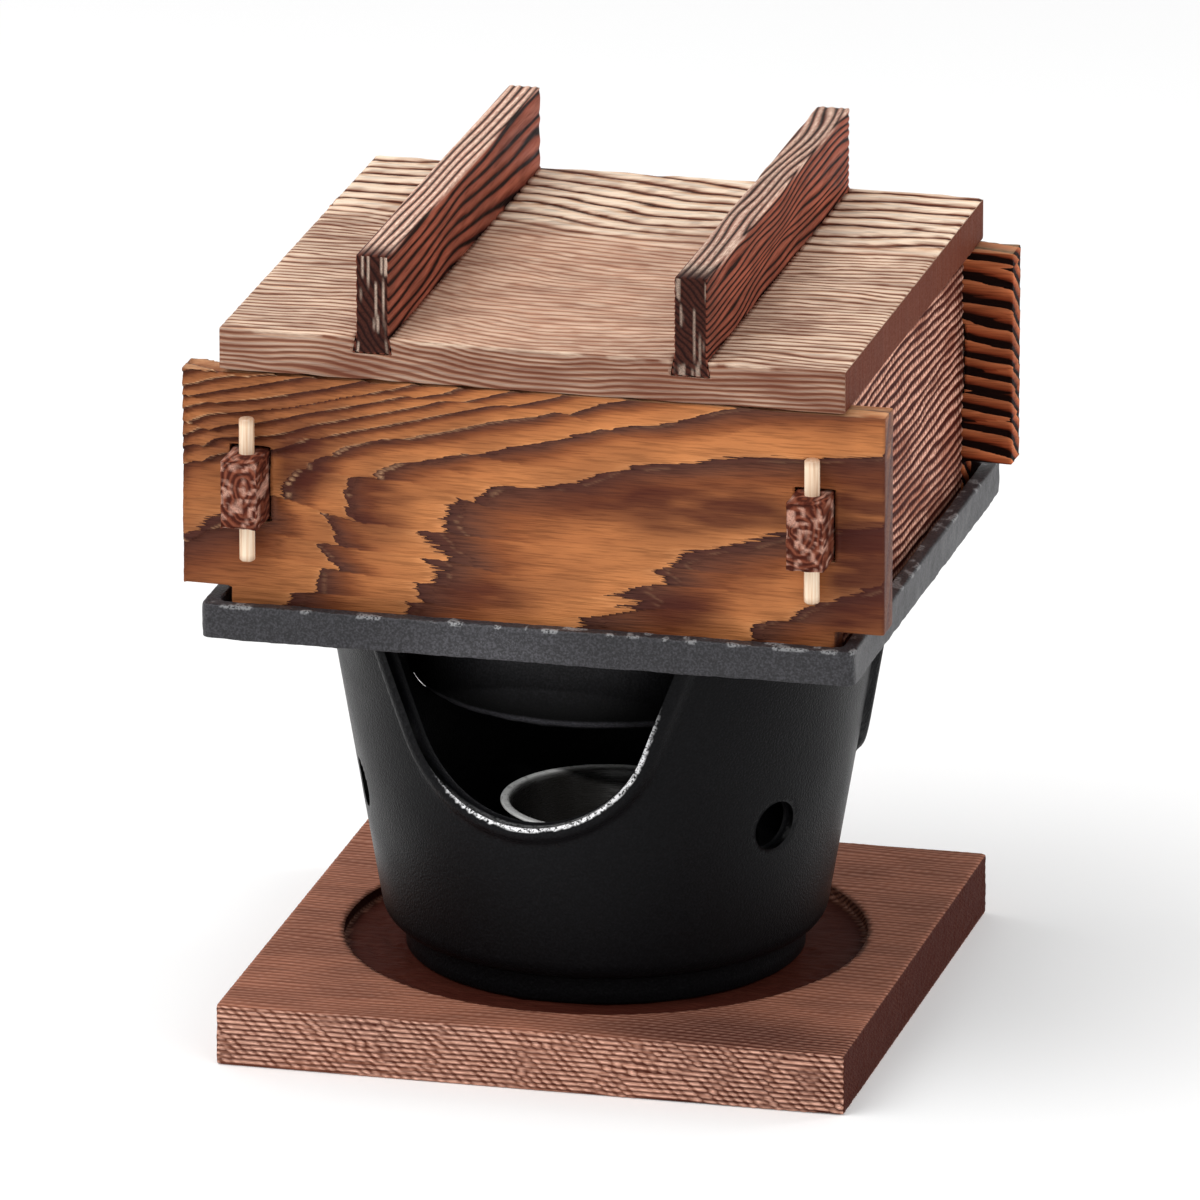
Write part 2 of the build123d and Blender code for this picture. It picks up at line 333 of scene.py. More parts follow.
def round_recess(points):
    """Grid corners on the stepped edge of the recess go out or in along their radius to the circle."""
    column = np.searchsorted(base_grid[0], points[:, 0] - 0.01)
    row = np.searchsorted(base_grid[1], points[:, 1] - 0.01)
    touched = rim_count[column, row]
    on_rim = (touched > 0) & (touched < 4) & (points[:, 2] > recess_floor - 0.01)
    radius = np.hypot(points[:, 0], points[:, 1])
    scale = np.where(on_rim, recess_radius / np.maximum(radius, 1), 1)
    points = points * np.stack([scale, scale, np.ones_like(scale)], 1)
    points[:, 2] -= rim_bevel * (on_rim & (points[:, 2] > base_high[2] - 0.01))
    return points


def spot(x, z, at, size):
    """A soft oval patch: 1 in its middle and 0 past its half sizes."""
    return smooth(1, 0.2, np.hypot((x - at[0]) / size[0], (z - at[1]) / size[1]))


def base_look(points, normals):
    """Rings in layers that rise to the back; ridged and beaded sides; a recess with tool marks, painted dark
    as shade under the stove.
    """
    x, y, z = points.T
    drift = 9 * noise(x / 70, y / 34, 0, 3) + 1.7 * noise(x / 13, y / 5, z / 5, 4)
    ring = (y + drift + 0.035 * x + 1.55 * (z - base_high[2])) / 1.9
    ridge, bead = beads(ring, x + 0.35 * z, 2.1)
    radius = np.hypot(x, y)
    in_recess = (radius < recess_radius - 0.4) & (z < base_high[2] - 0.2) & (normals[:, 2] > 0.3)
    side = 1 - np.abs(normals[:, 2])
    turn = np.arctan2(y, x)
    marks = noise(radius / 1.3, turn * 9, 0, 5) * noise(x / 2.2, y / 2.2, 0, 6)
    end = smooth(0.5, 0.9, np.abs(normals[:, 0]))
    corner = smooth(20, 70, x) * smooth(-48, -74, y)
    relief = 0.06 + (0.10 + 0.34 * side + 0.12 * corner) * (1 - bead) * (1 - end)
    rough_end = relief + 0.25 * end * noise(y / 1.1, z / 0.8, 0, 7)
    relief = np.where(in_recess, 0.1 + 0.75 * marks, rough_end)
    # The top darkens towards the right and in a patch at the front right. Only the right end takes the dark
    # end colour: end-grain char and painted shade on the end turned from the light.
    char = 0.10 + 0.12 * smooth(0, 75, x) * (1 - side) + 0.95 * end * smooth(0, 1, normals[:, 0])
    char = char + 0.7 * spot(x, y, (40, -66), (52, 22)) * (1 - side) + 0.5 * corner * (1 - ridge)
    char = char + 0.62 * side * smooth(0.6, 0.1, bead) * (1 - end)
    # The recess floor is painted fully dark in the burnt colour: painted shade under the stove.
    char = np.where(in_recess, 1.0, char)
    patchy = 0.85 + 0.3 * noise(x / 30, z / 6, 0, 8)
    # Pale bead tops, most on the upright faces: brushed wear, and painted glints on the beads.
    wear = 0.26 * (1 - side) * bead * (1 - in_recess)
    wear = wear + 1.1 * side * smooth(0.15, 0.8, bead) * (1 - end) * patchy
    bold = np.clip(0.42 + 0.4 * side + 0.5 * corner, 0, 1)
    return relief, {"ring": ring, "bold": bold, "char": np.clip(char, 0, 1), "wear": np.clip(wear, 0, 1)}


base_stops = [(0.0, (0.50, 0.21, 0.125)), (0.30, (0.34, 0.12, 0.065)), (0.46, (0.055, 0.011, 0.007)),
              (0.64, (0.14, 0.04, 0.025)), (1.0, (0.50, 0.21, 0.125))]
base_finish = cedar("scorched_base_cedar", "x", base_stops, plain=(0.37, 0.138, 0.082),
                    burnt_and_shade=(0.046, 0.009, 0.006), worn_and_glint=(1.0, 0.58, 0.44), rough=0.6)
wood_piece("base_board", "base", base_grid, base_full, [(base_low, base_high)], 0.7, base_look,
           base_finish, settle=round_recess)

# Stove
# A tapered cup of aluminium, sand cast in one with its foot ring, the seat for the dish, the
# rounded beads round its arches and the four lugs for the pan. It has a black heat-proof coat.
# Along the arches' edges the coat is painted grey: rubbed coat, and a painted highlight that is strongest low
# on the right.
stove_low, stove_high = box_mm("stove_body")
stove_turn = np.radians(-5.0)
lug_half, lug_length, lug_height, lug_root = 3.5, 8.0, 4.3, 6.0
crown = stove_high[2] - lug_height
foot_level = stove_low[2]
shoulder_radius, shoulder_level, shoulder_curve = 52.54, foot_level + 11.6, 6.0
foot_radius, foot_width, foot_hollow = shoulder_radius - 5.54, 5.0, 2.0
lean = np.radians(9.65)
wall = 3.5 / np.cos(lean)
stove_floor = foot_level + 7.0
floor_round = 9.0
dish_low, dish_high = box_mm("fuel_dish")
seat_inner, seat_outer = 20.5, 22.5
bead_proud, bead_width = 2.0, 4.0
round_columns = 432


def taper(level):
    """Outer radius of the straight wall at a level."""
    return shoulder_radius + (level - shoulder_level) * np.tan(lean)


def grid_quads(rows, columns):
    """Quads of a grid of rows whose columns close on themselves."""
    here = np.arange(rows - 1)[:, None] * columns + np.arange(columns)[None, :]
    beside = np.roll(here, -1, axis=1)
    return np.stack([here, beside, beside + columns, here + columns], -1).reshape(-1, 4)


def lathe(profile, columns):
    """A profile that starts and ends on the axis, carried round it: radius times a unit circle.

    The first and last points of the profile become one pole each, with quads that take two columns
    at a time. The poles are the last two points.
    """
    angle = np.arange(columns) * 2 * np.pi / columns
    radius, level = np.array(profile[1:-1]).T
    x = radius[:, None] * np.sin(angle)
    y = -radius[:, None] * np.cos(angle)
    rows = np.stack([x, y, np.broadcast_to(level[:, None], x.shape)], -1)
    points = np.concatenate([rows.reshape(-1, 3), [[0, 0, profile[0][1]], [0, 0, profile[-1][1]]]])
    quads = grid_quads(len(radius), columns)
    even = np.arange(0, columns, 2)
    last = (len(radius) - 1) * columns
    start_pole, end_pole = len(points) - 2, len(points) - 1
    start = np.stack([np.full_like(even, start_pole), (even + 2) % columns, even + 1, even], 1)
    end = np.stack([np.full_like(even, end_pole), last + even, last + even + 1,
                    last + (even + 2) % columns], 1)
    return points, np.concatenate([quads, start, end])


def arc(centre, radius, start, end, count):
    """Points on a circle's arc from one angle to another, in degrees from outwards to upwards."""
    turn = np.radians(np.linspace(start, end, count))
    return [(centre[0] + radius * np.cos(t), centre[1] + radius * np.sin(t)) for t in turn]


def turned(points, angle):
    """Points turned about the upright axis: each of across and deep is a cosine and sine share."""
    sine, cosine = np.sin(angle), np.cos(angle)
    return np.stack([cosine * points[:, 0] - sine * points[:, 1],
                     sine * points[:, 0] + cosine * points[:, 1], points[:, 2]], 1)


def arch_gap(across, level, sill, radius, flare):
    """Distance outside an arch: from its sill's circle, or from its leaning sides above that.

    The two slopes are that distance's rise per millimetre across and per millimetre up.
    """
    up = level - (foot_level + sill + radius)
    side = np.abs(across)
    sine, cosine = np.sin(flare), np.cos(flare)
    below = side * sine + up * cosine < 0
    reach = np.maximum(np.hypot(side, up), 1e-6)
    gap = np.where(below, reach, side * cosine - up * sine) - radius
    slope_side = np.sign(across) * np.where(below, side / reach, cosine)
    slope_up = np.where(below, up / reach, -sine)
    return gap, slope_side, slope_up


def stove_mesh():
    """The cup as a closed profile round the axis, with cells left out for arches and vents.

    The wall's outer and inner rows share their levels. Corners at a gap's edge are moved onto its
    outline, and quads through the wall join the two sides there. The beads swell the outer side.
    """
    shoulder_centre = (shoulder_radius - shoulder_curve * np.cos(lean),
                       shoulder_level + shoulder_curve * np.sin(lean))
    foot_turn = -np.degrees(np.arccos((foot_radius - shoulder_centre[0]) / shoulder_curve))
    levels = np.linspace(shoulder_level + 16, crown, 64)
    under = [(0, foot_level + foot_hollow), (20, foot_level + foot_hollow),
             (foot_radius - foot_width - 0.3, foot_level + foot_hollow),
             (foot_radius - foot_width, foot_level + foot_hollow - 0.3),
             (foot_radius - foot_width, foot_level + 0.5), (foot_radius - foot_width + 0.5, foot_level),
             (foot_radius - 0.6, foot_level), (foot_radius, foot_level + 0.6),
             (foot_radius, foot_level + 3.0), (foot_radius, foot_level + 6.2)]
    shoulder = arc(shoulder_centre, shoulder_curve, foot_turn + 1.0, -np.degrees(lean), 16)
    low_wall = [(taper(z), z) for z in np.linspace(shoulder_level, levels[0], 12)[1:-1]]
    outer = [(taper(z), z) for z in levels]
    inner = [(taper(z) - wall, z) for z in levels[::-1]]
    low_inner = [(taper(z) - wall, z) for z in np.linspace(levels[0], stove_floor + 8, 9)[1:]]
    floor_radius = taper(stove_floor) - wall - 0.8
    bend = arc((floor_radius - floor_round, stove_floor + floor_round), floor_round, -8, -90, 9)
    seat_rim = dish_low[2] + 1.5
    seat = [(seat_outer + 3, stove_floor), (seat_outer + 0.6, stove_floor + 0.1),
            (seat_outer, stove_floor + 0.7), (seat_outer, seat_rim - 0.4), (seat_outer - 0.4, seat_rim),
            (seat_inner + 0.4, seat_rim), (seat_inner, seat_rim - 0.4), (seat_inner, dish_low[2]),
            (10, dish_low[2]), (0, dish_low[2])]
    profile = under + shoulder + low_wall + outer + inner + low_inner + bend + seat
    points, quads = lathe(profile, round_columns)

    # gaps, measured from the outer side
    first = len(under) + len(shoulder) + len(low_wall) - 1
    count = len(levels)
    turn = np.arange(round_columns) * 2 * np.pi / round_columns
    z_grid = np.broadcast_to(levels[:, None], (count, round_columns)).copy()
    turn_grid = np.broadcast_to(turn, z_grid.shape).copy()
    front_arch = (46.7, 29.0, np.radians(20.6))  # sill above the foot, radius, lean of its sides
    side_arch = (48.0, 14.0, np.radians(8.0))
    vent, vent_level = 6.0, 42.4
    gaps = [(0, *front_arch), (-120, *side_arch), (120, *side_arch)]
    gaps += [(angle, vent_level - vent, vent, None) for angle in (-62, 62, 180)]

    def measured(angle, sill, radius, flare):
        """Local angle and distance from one gap; a vent is an arch with its circle closed."""
        local = (turn_grid - np.radians(angle) + np.pi) % (2 * np.pi) - np.pi
        across = np.where(np.abs(local) < 1.2, taper(z_grid) * np.sin(local), 99)
        if flare is not None:
            return (across, *arch_gap(across, z_grid, sill, radius, flare))
        up = z_grid - (foot_level + sill + radius)
        reach = np.maximum(np.hypot(across, up), 1e-6)
        return across, reach - radius, across / reach, up / reach

    open_cells = np.zeros((count - 1, round_columns), bool)
    for gap in gaps:
        away = measured(*gap)[1]
        centre = (away[:-1] + away[1:]) / 2
        centre = (centre + np.roll(centre, -1, axis=1)) / 2
        open_cells |= centre < 0
    around = np.pad(open_cells, ((1, 1), (0, 0)), mode="edge")
    around[0] = False
    neighbours = around[:-1].astype(int) + around[1:]
    neighbours = neighbours + np.roll(neighbours, 1, axis=1)
    at_edge = (neighbours > 0) & (neighbours < 4)
    swell = np.zeros_like(z_grid)
    rubbed_and_glint = np.zeros_like(z_grid)
    top = z_grid >= crown - 0.01
    for gap in gaps:
        across, away, slope_side, slope_up = measured(*gap)
        near = at_edge & (np.abs(away) < 1.6)
        z_grid = np.where(near & ~top, z_grid - away * slope_up, z_grid)
        shift = np.where(top, away / np.where(np.abs(slope_side) > 0.2, slope_side, 1), away * slope_side)
        goal = np.clip((across - shift) / taper(z_grid), -0.95, 0.95)
        turn_grid = np.where(near, np.radians(gap[0]) + np.arcsin(goal), turn_grid)
    inner_turn = turn_grid.copy()
    for gap in gaps:
        across, away, _, _ = measured(*gap)
        inward = np.clip(across / (taper(z_grid) - wall), -0.95, 0.95)
        outward = np.clip(across / taper(z_grid), -0.95, 0.95)
        inner_turn += (np.arcsin(inward) - np.arcsin(outward)) * smooth(6, 0, np.abs(away))
        if gap[3] is not None:
            part = np.clip(np.abs(away - 0.42 * bead_width) / (0.64 * bead_width), 0, 1)
            swell = np.maximum(swell, np.where(away > -1.5, bead_proud * (1 - part ** 2.6), 0))
            # The grey line along each arch's edge: rubbed coat, and a painted highlight, stronger on the
            # right and low down.
            rubbed_and_glint = np.maximum(rubbed_and_glint, smooth(1.7, 0.3, np.abs(away)) * smooth(-40, -6, across))
        else:
            swell = swell - 0.3 * smooth(0.9, 0, np.abs(away))
    outer_radius = taper(z_grid) + swell
    inner_radius = taper(z_grid) - wall
    out_x, out_y = outer_radius * np.sin(turn_grid), -outer_radius * np.cos(turn_grid)
    in_x, in_y = inner_radius * np.sin(inner_turn), -inner_radius * np.cos(inner_turn)
    outer_points = np.stack([out_x, out_y, z_grid], -1)
    inner_points = np.stack([in_x, in_y, z_grid], -1)
    size = count * round_columns
    start = first * round_columns
    wear = np.zeros(len(points))
    wear[start:start + size] = (rubbed_and_glint * smooth(crown + 8, foot_level + 60, z_grid)).ravel()
    points[start:start + size] = outer_points.reshape(-1, 3)
    points[start + size:start + 2 * size] = inner_points[::-1].reshape(-1, 3)

    # leave out the open cells on both sides and over the crown
    keep = np.ones(len(quads), bool)
    cells = (count - 1) * round_columns
    keep[start:start + cells] = ~open_cells.ravel()
    crown_start = start + cells
    keep[crown_start:crown_start + round_columns] = ~open_cells[-1]
    inner_start = crown_start + round_columns
    keep[inner_start:inner_start + cells] = ~open_cells[::-1].ravel()

    # close the wall's thickness round each gap
    def outside(i, j):
        """Number of the wall's outer point in a row and column."""
        return start + i * round_columns + j % round_columns

    def within(i, j):
        """Number of the inner point behind it, whose rows run the other way."""
        return start + size + (count - 1 - i) * round_columns + j % round_columns

    lips = []
    right = open_cells & ~np.roll(open_cells, 1, axis=1)
    left = open_cells & ~np.roll(open_cells, -1, axis=1)
    i, j = np.nonzero(right)
    lips.append(np.stack([outside(i, j), within(i, j), within(i + 1, j), outside(i + 1, j)], 1)[:, ::-1])
    i, j = np.nonzero(left)
    lips.append(np.stack([outside(i, j + 1), within(i, j + 1), within(i + 1, j + 1),
                          outside(i + 1, j + 1)], 1))
    below = open_cells & ~np.pad(open_cells, ((1, 0), (0, 0)))[:-1]
    above = open_cells & ~np.pad(open_cells, ((0, 1), (0, 0)), mode="edge")[1:]
    i, j = np.nonzero(below)
    lips.append(np.stack([outside(i, j), within(i, j), within(i, j + 1), outside(i, j + 1)], 1))
    i, j = np.nonzero(above)
    lips.append(np.stack([outside(i + 1, j), within(i + 1, j), within(i + 1, j + 1),
                          outside(i + 1, j + 1)], 1)[:, ::-1])
    quads = np.concatenate([quads[keep]] + lips)

    # lugs, with their feet sunk in the wall
    lug_outer = taper(crown) - 1.0
    for angle in (-68, 68, -158, 158):
        low = np.array((-lug_half, -lug_outer, crown - lug_root))
        high = np.array((lug_half, lug_length - lug_outer, crown + lug_height))
        grid = [lines(0.8, a, b) for a, b in zip(low, high)]
        lug, faces = skin(grid, inside(grid, low, high))
        lug = eased(lug, [(low, high)], 0.8)
        quads = np.concatenate([quads, faces + len(points)])
        points = np.concatenate([points, turned(lug, np.radians(angle))])
        wear = np.append(wear, np.zeros(len(lug)))
    used, quads = np.unique(quads, return_inverse=True)
    return turned(points[used], stove_turn), quads.reshape(-1, 4), wear[used]


def black_coat(name, colour, rough, grit, sandy, gloss, rubbed_and_glint):
    """A matt black coat over a sand casting: gritty, grey where rubbed and where a highlight is painted, dead
    black with soot.
    """
    coat = Finish(name)
    sand = coat.noise([grit] * 3, 3.0)
    cloud = coat.noise([0.05] * 3, 2.0)
    tone = coat.ranged(sand, 0.35, 0.75, 0.0, 1.0)
    shade = coat.mix(tone, colour, [c * sandy for c in colour])
    bare_and_glint = coat.ranged(coat.attribute("wear"), 0.45, 0.85, 0.0, 1.0)
    worn_and_glint = coat.math("MULTIPLY", bare_and_glint, coat.ranged(sand, 0.36, 0.54, 0.0, 1.0))
    shade = coat.mix(worn_and_glint, shade, rubbed_and_glint)
    soot = coat.attribute("soot")
    shade = coat.mix(soot, shade, (0.003, 0.003, 0.003))
    coat.set(Base_Color=shade, Roughness=coat.ranged(cloud, 0.2, 0.8, rough - 0.05, rough + 0.07))
    coat.set(Specular_IOR_Level=coat.ranged(soot, 0.0, 1.0, gloss, 0.02))
    coat.bump(sand, 0.2)
    return coat.material


stove_points, stove_quads, stove_wear = stove_mesh()
stove_coat = black_coat("black_stove_coat", (0.0035, 0.0035, 0.004), rough=0.33, grit=1.9, sandy=2.0,
                        gloss=0.06, rubbed_and_glint=(0.85, 0.85, 0.86))
add_piece("stove_casting", "stove_body", "stove", stove_points, stove_quads, stove_coat,
          wear=stove_wear)

# Fuel dish
# A thin cup of spun aluminium for a block of solid fuel, with a flat rolled lip. It drops into the
# ring on the stove's floor. Soot has blackened it. Its lip is bright only on the left, a painted glint, and
# elsewhere the lip stays dark as painted shade.
dish_wall, dish_lip, dish_flare = 0.8, 1.6, 3.7
dish_base, dish_round = 19.5, 1.2
dish_top, dish_foot = dish_high[2], dish_low[2]
dish_rim = dish_base + dish_flare
lip_centre = dish_top - dish_wall / 2
dish_profile = [(0, dish_foot), (10, dish_foot), (dish_base - dish_round, dish_foot)]
dish_profile += arc((dish_base - dish_round, dish_foot + dish_round), dish_round, -75, -10, 5)
dish_profile += [(dish_base + dish_flare * t, dish_foot + t * (dish_top - dish_foot - dish_wall))
                 for t in np.linspace(0.1, 0.97, 14)]
dish_profile += arc((dish_rim + dish_lip - dish_wall / 2, lip_centre), dish_wall / 2, -90, 90, 9)
dish_profile += arc((dish_rim + 0.2, dish_top - 1.0), 1.0, 90, 160, 5)
dish_profile += [(dish_base + dish_flare * t - dish_wall, dish_foot + t * (dish_top - dish_foot))
                 for t in np.linspace(0.93, 0.12, 14)]
dish_profile += arc((dish_base - 2.2, dish_foot + dish_wall + 1.4), 1.4, -12, -90, 5)
dish_profile += [(9, dish_foot + dish_wall), (0, dish_foot + dish_wall)]
dish_points, dish_quads = lathe(dish_profile, 144)
spun = Finish("spun_aluminium")
turning = spun.noise([0.35, 0.35, 5.0], 2.0)
bright = spun.mix(turning, (0.66, 0.66, 0.65), (0.95, 0.95, 0.93))
spun.set(Base_Color=spun.mix(spun.attribute("soot"), bright, (0.012, 0.011, 0.010)), Metallic=0.1)
spun.set(Roughness=spun.ranged(turning, 0.3, 0.7, 0.24, 0.36))
spun.bump(turning, 0.03)
reach = np.hypot(dish_points[:, 0], dish_points[:, 1])
glint_lip = smooth(dish_rim - 0.9, dish_rim + 0.2, reach)
glint_lip = glint_lip * smooth(dish_top - 1.5, dish_top - 0.6, dish_points[:, 2])
# The lip is kept bright only on its left side, a painted glint; on the right it keeps the dark as painted
# shade.
add_piece("spun_dish", "fuel_dish", "dish", dish_points, dish_quads, spun.material,
          soot=1 - glint_lip * smooth(0.7, -0.5, dish_points[:, 0] / np.maximum(reach, 1)))

# Water pan
# A square tray of cast aluminium with an upstanding rim and a round well, cast in one. Its coat is
# sandier than the stove's, and worn to grey specks along the top edge where the box goes in and out.
pan_low, pan_high = box_mm("water_pan")
pan_half = pan_high[0]
pan_under = stove_high[2]
pan_wall, pan_floor, pan_corner, pan_edge = 4.0, 3.0, 2.5, 0.8
well_radius, well_wall, well_round = 47.01, 3.0, 7.0
pan_columns = 600


def square_path(half, corner, columns):
    """Even steps round a square with rounded corners, from the middle of the front to the right."""
    straight = half - corner
    quarter = corner * np.pi / 2
    length = 8 * straight + 4 * quarter
    run = (np.arange(columns) * length / columns + straight) % length
    side = (run // (2 * straight + quarter)).astype(int)
    rest = run - side * (2 * straight + quarter)
    turn = np.clip((rest - 2 * straight) / corner, 0, np.pi / 2)
    u = np.minimum(rest, 2 * straight) - straight + corner * np.sin(turn)
    v = -straight - corner * np.cos(turn)
    angle = side * np.pi / 2
    return np.stack([u * np.cos(angle) - v * np.sin(angle), u * np.sin(angle) + v * np.cos(angle)], 1)


def pan_mesh():
    """A closed profile whose rows are squares on the tray and circles on the well.

    A row's path is its squareness times a rounded square, plus the rest times a circle in the same
    directions, and the wide floor and underside blend between the two.
    """
    inner = pan_half - pan_wall
    tray_floor = pan_under + pan_floor
    top = pan_high[2]
    foot = pan_low[2]
    hollow = well_radius - well_wall
    blend = np.linspace(0, 1, 14)[1:-1]
    rows = [(r, 0, z) for r, z in [(8, foot), (24, foot)]]
    rows += [(r, 0, z) for r, z in arc((well_radius - well_round, foot + well_round), well_round, -90, 0, 10)]
    rows += [(well_radius, 0, z) for z in np.linspace(foot + well_round, pan_under - 1.5, 10)[1:]]
    rows += [(r, 0, z) for r, z in arc((well_radius + 1.5, pan_under - 1.5), 1.5, 180, 90, 5)[1:]]
    rows += [(well_radius + 1.5 + (pan_half - 1 - well_radius - 1.5) * b, b, pan_under) for b in blend]
    rows += [(r, 1, z) for r, z in arc((pan_half - 0.5, pan_under + 0.5), 0.5, -90, 0, 4)]
    rows += [(pan_half, 1, z) for z in np.linspace(pan_under + 0.5, top - pan_edge, 9)[1:-1]]
    rows += [(r, 1, z) for r, z in arc((pan_half - pan_edge, top - pan_edge), pan_edge, 0, 90, 5)]
    rows += [(pan_half - 1.6, 1, top), (pan_half - 2.4, 1, top)]
    rows += [(r, 1, z) for r, z in arc((inner + 0.7, top - 0.7), 0.7, 90, 180, 4)]
    rows += [(inner, 1, z) for z in np.linspace(top - 0.7, tray_floor + 1, 6)[1:]]
    rows += [(r, 1, z) for r, z in arc((inner - 1, tray_floor + 1), 1, 0, -90, 4)[1:]]
    rows += [(hollow + 1 + (inner - 1 - hollow - 1) * b, b, tray_floor) for b in blend[::-1]]
    rows += [(r, 0, z) for r, z in arc((hollow + 1, tray_floor - 1), 1, 90, 180, 4)]
    rows += [(hollow, 0, z) for z in np.linspace(tray_floor - 1, foot + well_round, 9)[1:]]
    rows += [(r, 0, z) for r, z in arc((well_radius - well_round, foot + well_round),
                                       well_round - well_wall, 0, -90, 7)[1:]]
    rows += [(24, 0, foot + well_wall), (8, 0, foot + well_wall)]
    reach, square, level = np.array(rows).T
    profile = [(0, foot)] + [(r, z) for r, z in zip(reach, level)] + [(0, foot + well_wall)]
    points, quads = lathe(profile, pan_columns)
    path = square_path(pan_half, pan_corner, pan_columns)
    circle = path / np.linalg.norm(path, axis=1)[:, None]
    flat = square[:, None, None] * path / pan_half + (1 - square)[:, None, None] * circle
    plan = flat * reach[:, None, None]
    inside_corner = np.clip(plan, -inner, inner)
    within_rim = (level[:, None, None] < top - 0.01) & (reach[:, None, None] <= inner)
    plan = np.where(within_rim, inside_corner, plan)
    points[:-2, :2] = plan.reshape(-1, 2)
    return points, quads


pan_points, pan_quads = pan_mesh()
pan_normals = facing(pan_points, pan_quads)
x, y, z = pan_points.T
casting = 0.28 * noise(x / 4.5, y / 4.5, z / 3, 41) + 0.16 * noise(x / 1.4, y / 1.4, z / 1.4, 42)
pan_points = pan_points - pan_normals * casting[:, None]
top_edge = smooth(1.2, 0.2, np.abs(pan_points[:, 2] - pan_high[2] + 0.35))
pan_coat = black_coat("sandy_pan_coat", (0.014, 0.0135, 0.0155), rough=0.46, grit=2.0, sandy=3.6,
                      gloss=0.34, rubbed_and_glint=(0.20, 0.20, 0.205))
outside_well = np.hypot(x, y) > well_radius - 1.5
flame_soot = np.where(outside_well | (z < pan_low[2] + 1), 0.5 + 0.5 * smooth(-3, -24, z - pan_under), 0)
add_piece("pan_casting", "water_pan", "pan", pan_points, pan_quads, pan_coat,
          wear=top_edge * smooth(0.45, 0.8, noise(x / 2.2, y / 2.2, 0, 43)),
          soot=flame_soot * (z < pan_under - 0.5))

# End boards of the steaming box
# Flat-sawn cedar, scorched and wire-brushed, so the year rings make tongued steps like a map's
# contours. Their ears pass over the pan's rim, and two mortises take the side boards' tenons.
side_low, side_high = box_mm("right_side_board")
tenon_half_y = side_high[1]
side_inner_x, side_outer_x = side_low[0], side_high[0]
tenon_low, tenon_high = 133.0, 150.0
ear_under = 115.7


def bent_plane(knots):
    """A thin plate spline through (across, up, value): bumps of r squared log r and a tilted plane."""
    knots = np.array(knots, float)
    at, value = knots[:, :2], knots[:, 2]

    def bumps(places):
        """Squared distance from each place to each knot, times its own logarithm."""
        square = ((places[:, None] - at[None]) ** 2).sum(2)
        return square * np.log(square + 1e-9)

    plane = np.c_[np.ones(len(at)), at]
    system = np.block([[bumps(at) + 40 * np.eye(len(at)), plane], [plane.T, np.zeros((3, 3))]])
    weights = np.linalg.solve(system, np.r_[value, 0, 0, 0])

    def height(across, up):
        """The weighted bumps and the tilted plane, added up at each place."""
        places = np.c_[across, up]
        return np.c_[bumps(places), np.ones(len(places)), places] @ weights

    return height


front_rings = bent_plane([
    (-52, 115, 1), (-47, 126, 1), (-43.4, 140, 1), (-38, 146, 1), (-28, 149, 1), (-7, 154, 1),
    (8, 157.3, 1), (21.6, 161.7, 1), (45, 166.4, 1),
    (-22, 119.8, 2), (-16, 127, 2), (-18, 136, 2), (-9.6, 143, 2), (13, 146.7, 2), (33, 152.3, 2),
    (65, 156, 2), (83, 158, 2),
    (19, 114.8, 3), (30.4, 122.3, 3), (34, 128, 3), (48, 133.6, 3), (60, 137, 3), (83, 141, 3),
    (53, 113.6, 4), (64, 119.8, 4), (83, 126.7, 4),
    (-82, 126, 0), (-62, 134, 0), (-50, 148, 0), (-31, 154.3, 0), (5, 162, 0), (24, 167, 0),
    (-83, 145, -1), (-72, 151, -1), (-50, 156, -1), (-31, 160, -1), (0, 167, -1),
    (-83, 153, -2), (-66, 156, -2), (-50, 160, -2), (-25, 166, -2),
    (-83, 159, -3), (-60, 163, -3), (-40, 167.5, -3), (-83, 164, -4), (-66, 167.5, -4)])


def tongued(x, z, seed):
    """How far each bundle of fibres slips along the grain: noise thin across it, and torn sawteeth."""
    slip = 3.0 * (noise(x / 26, 0, z / 3.4, seed) - 0.5) + 1.1 * (noise(x / 13, 0, z / 1.5, seed + 1) - 0.5)
    slip = slip + 0.5 * (noise(x / 6, 0, z / 0.62, seed + 2) - 0.5)
    for pitch, reach in ((6.7, 12.0), (3.1, 1.8)):
        torn = z / pitch + 1.7 * noise(x / 34, 0, z / 11, seed + 3)
        slip = slip + reach * (torn - np.floor(torn) - 0.5) * noise(x / 18, 0, z / 6, seed + 4)
    return slip


def stepped(ring, rise):
    """Relief of one ring: a step after its sharp edge, rise of a ring wide, that fills up slowly."""
    part = ring - np.floor(ring)
    return smooth(0, rise, part) * (1 - part) ** 1.5


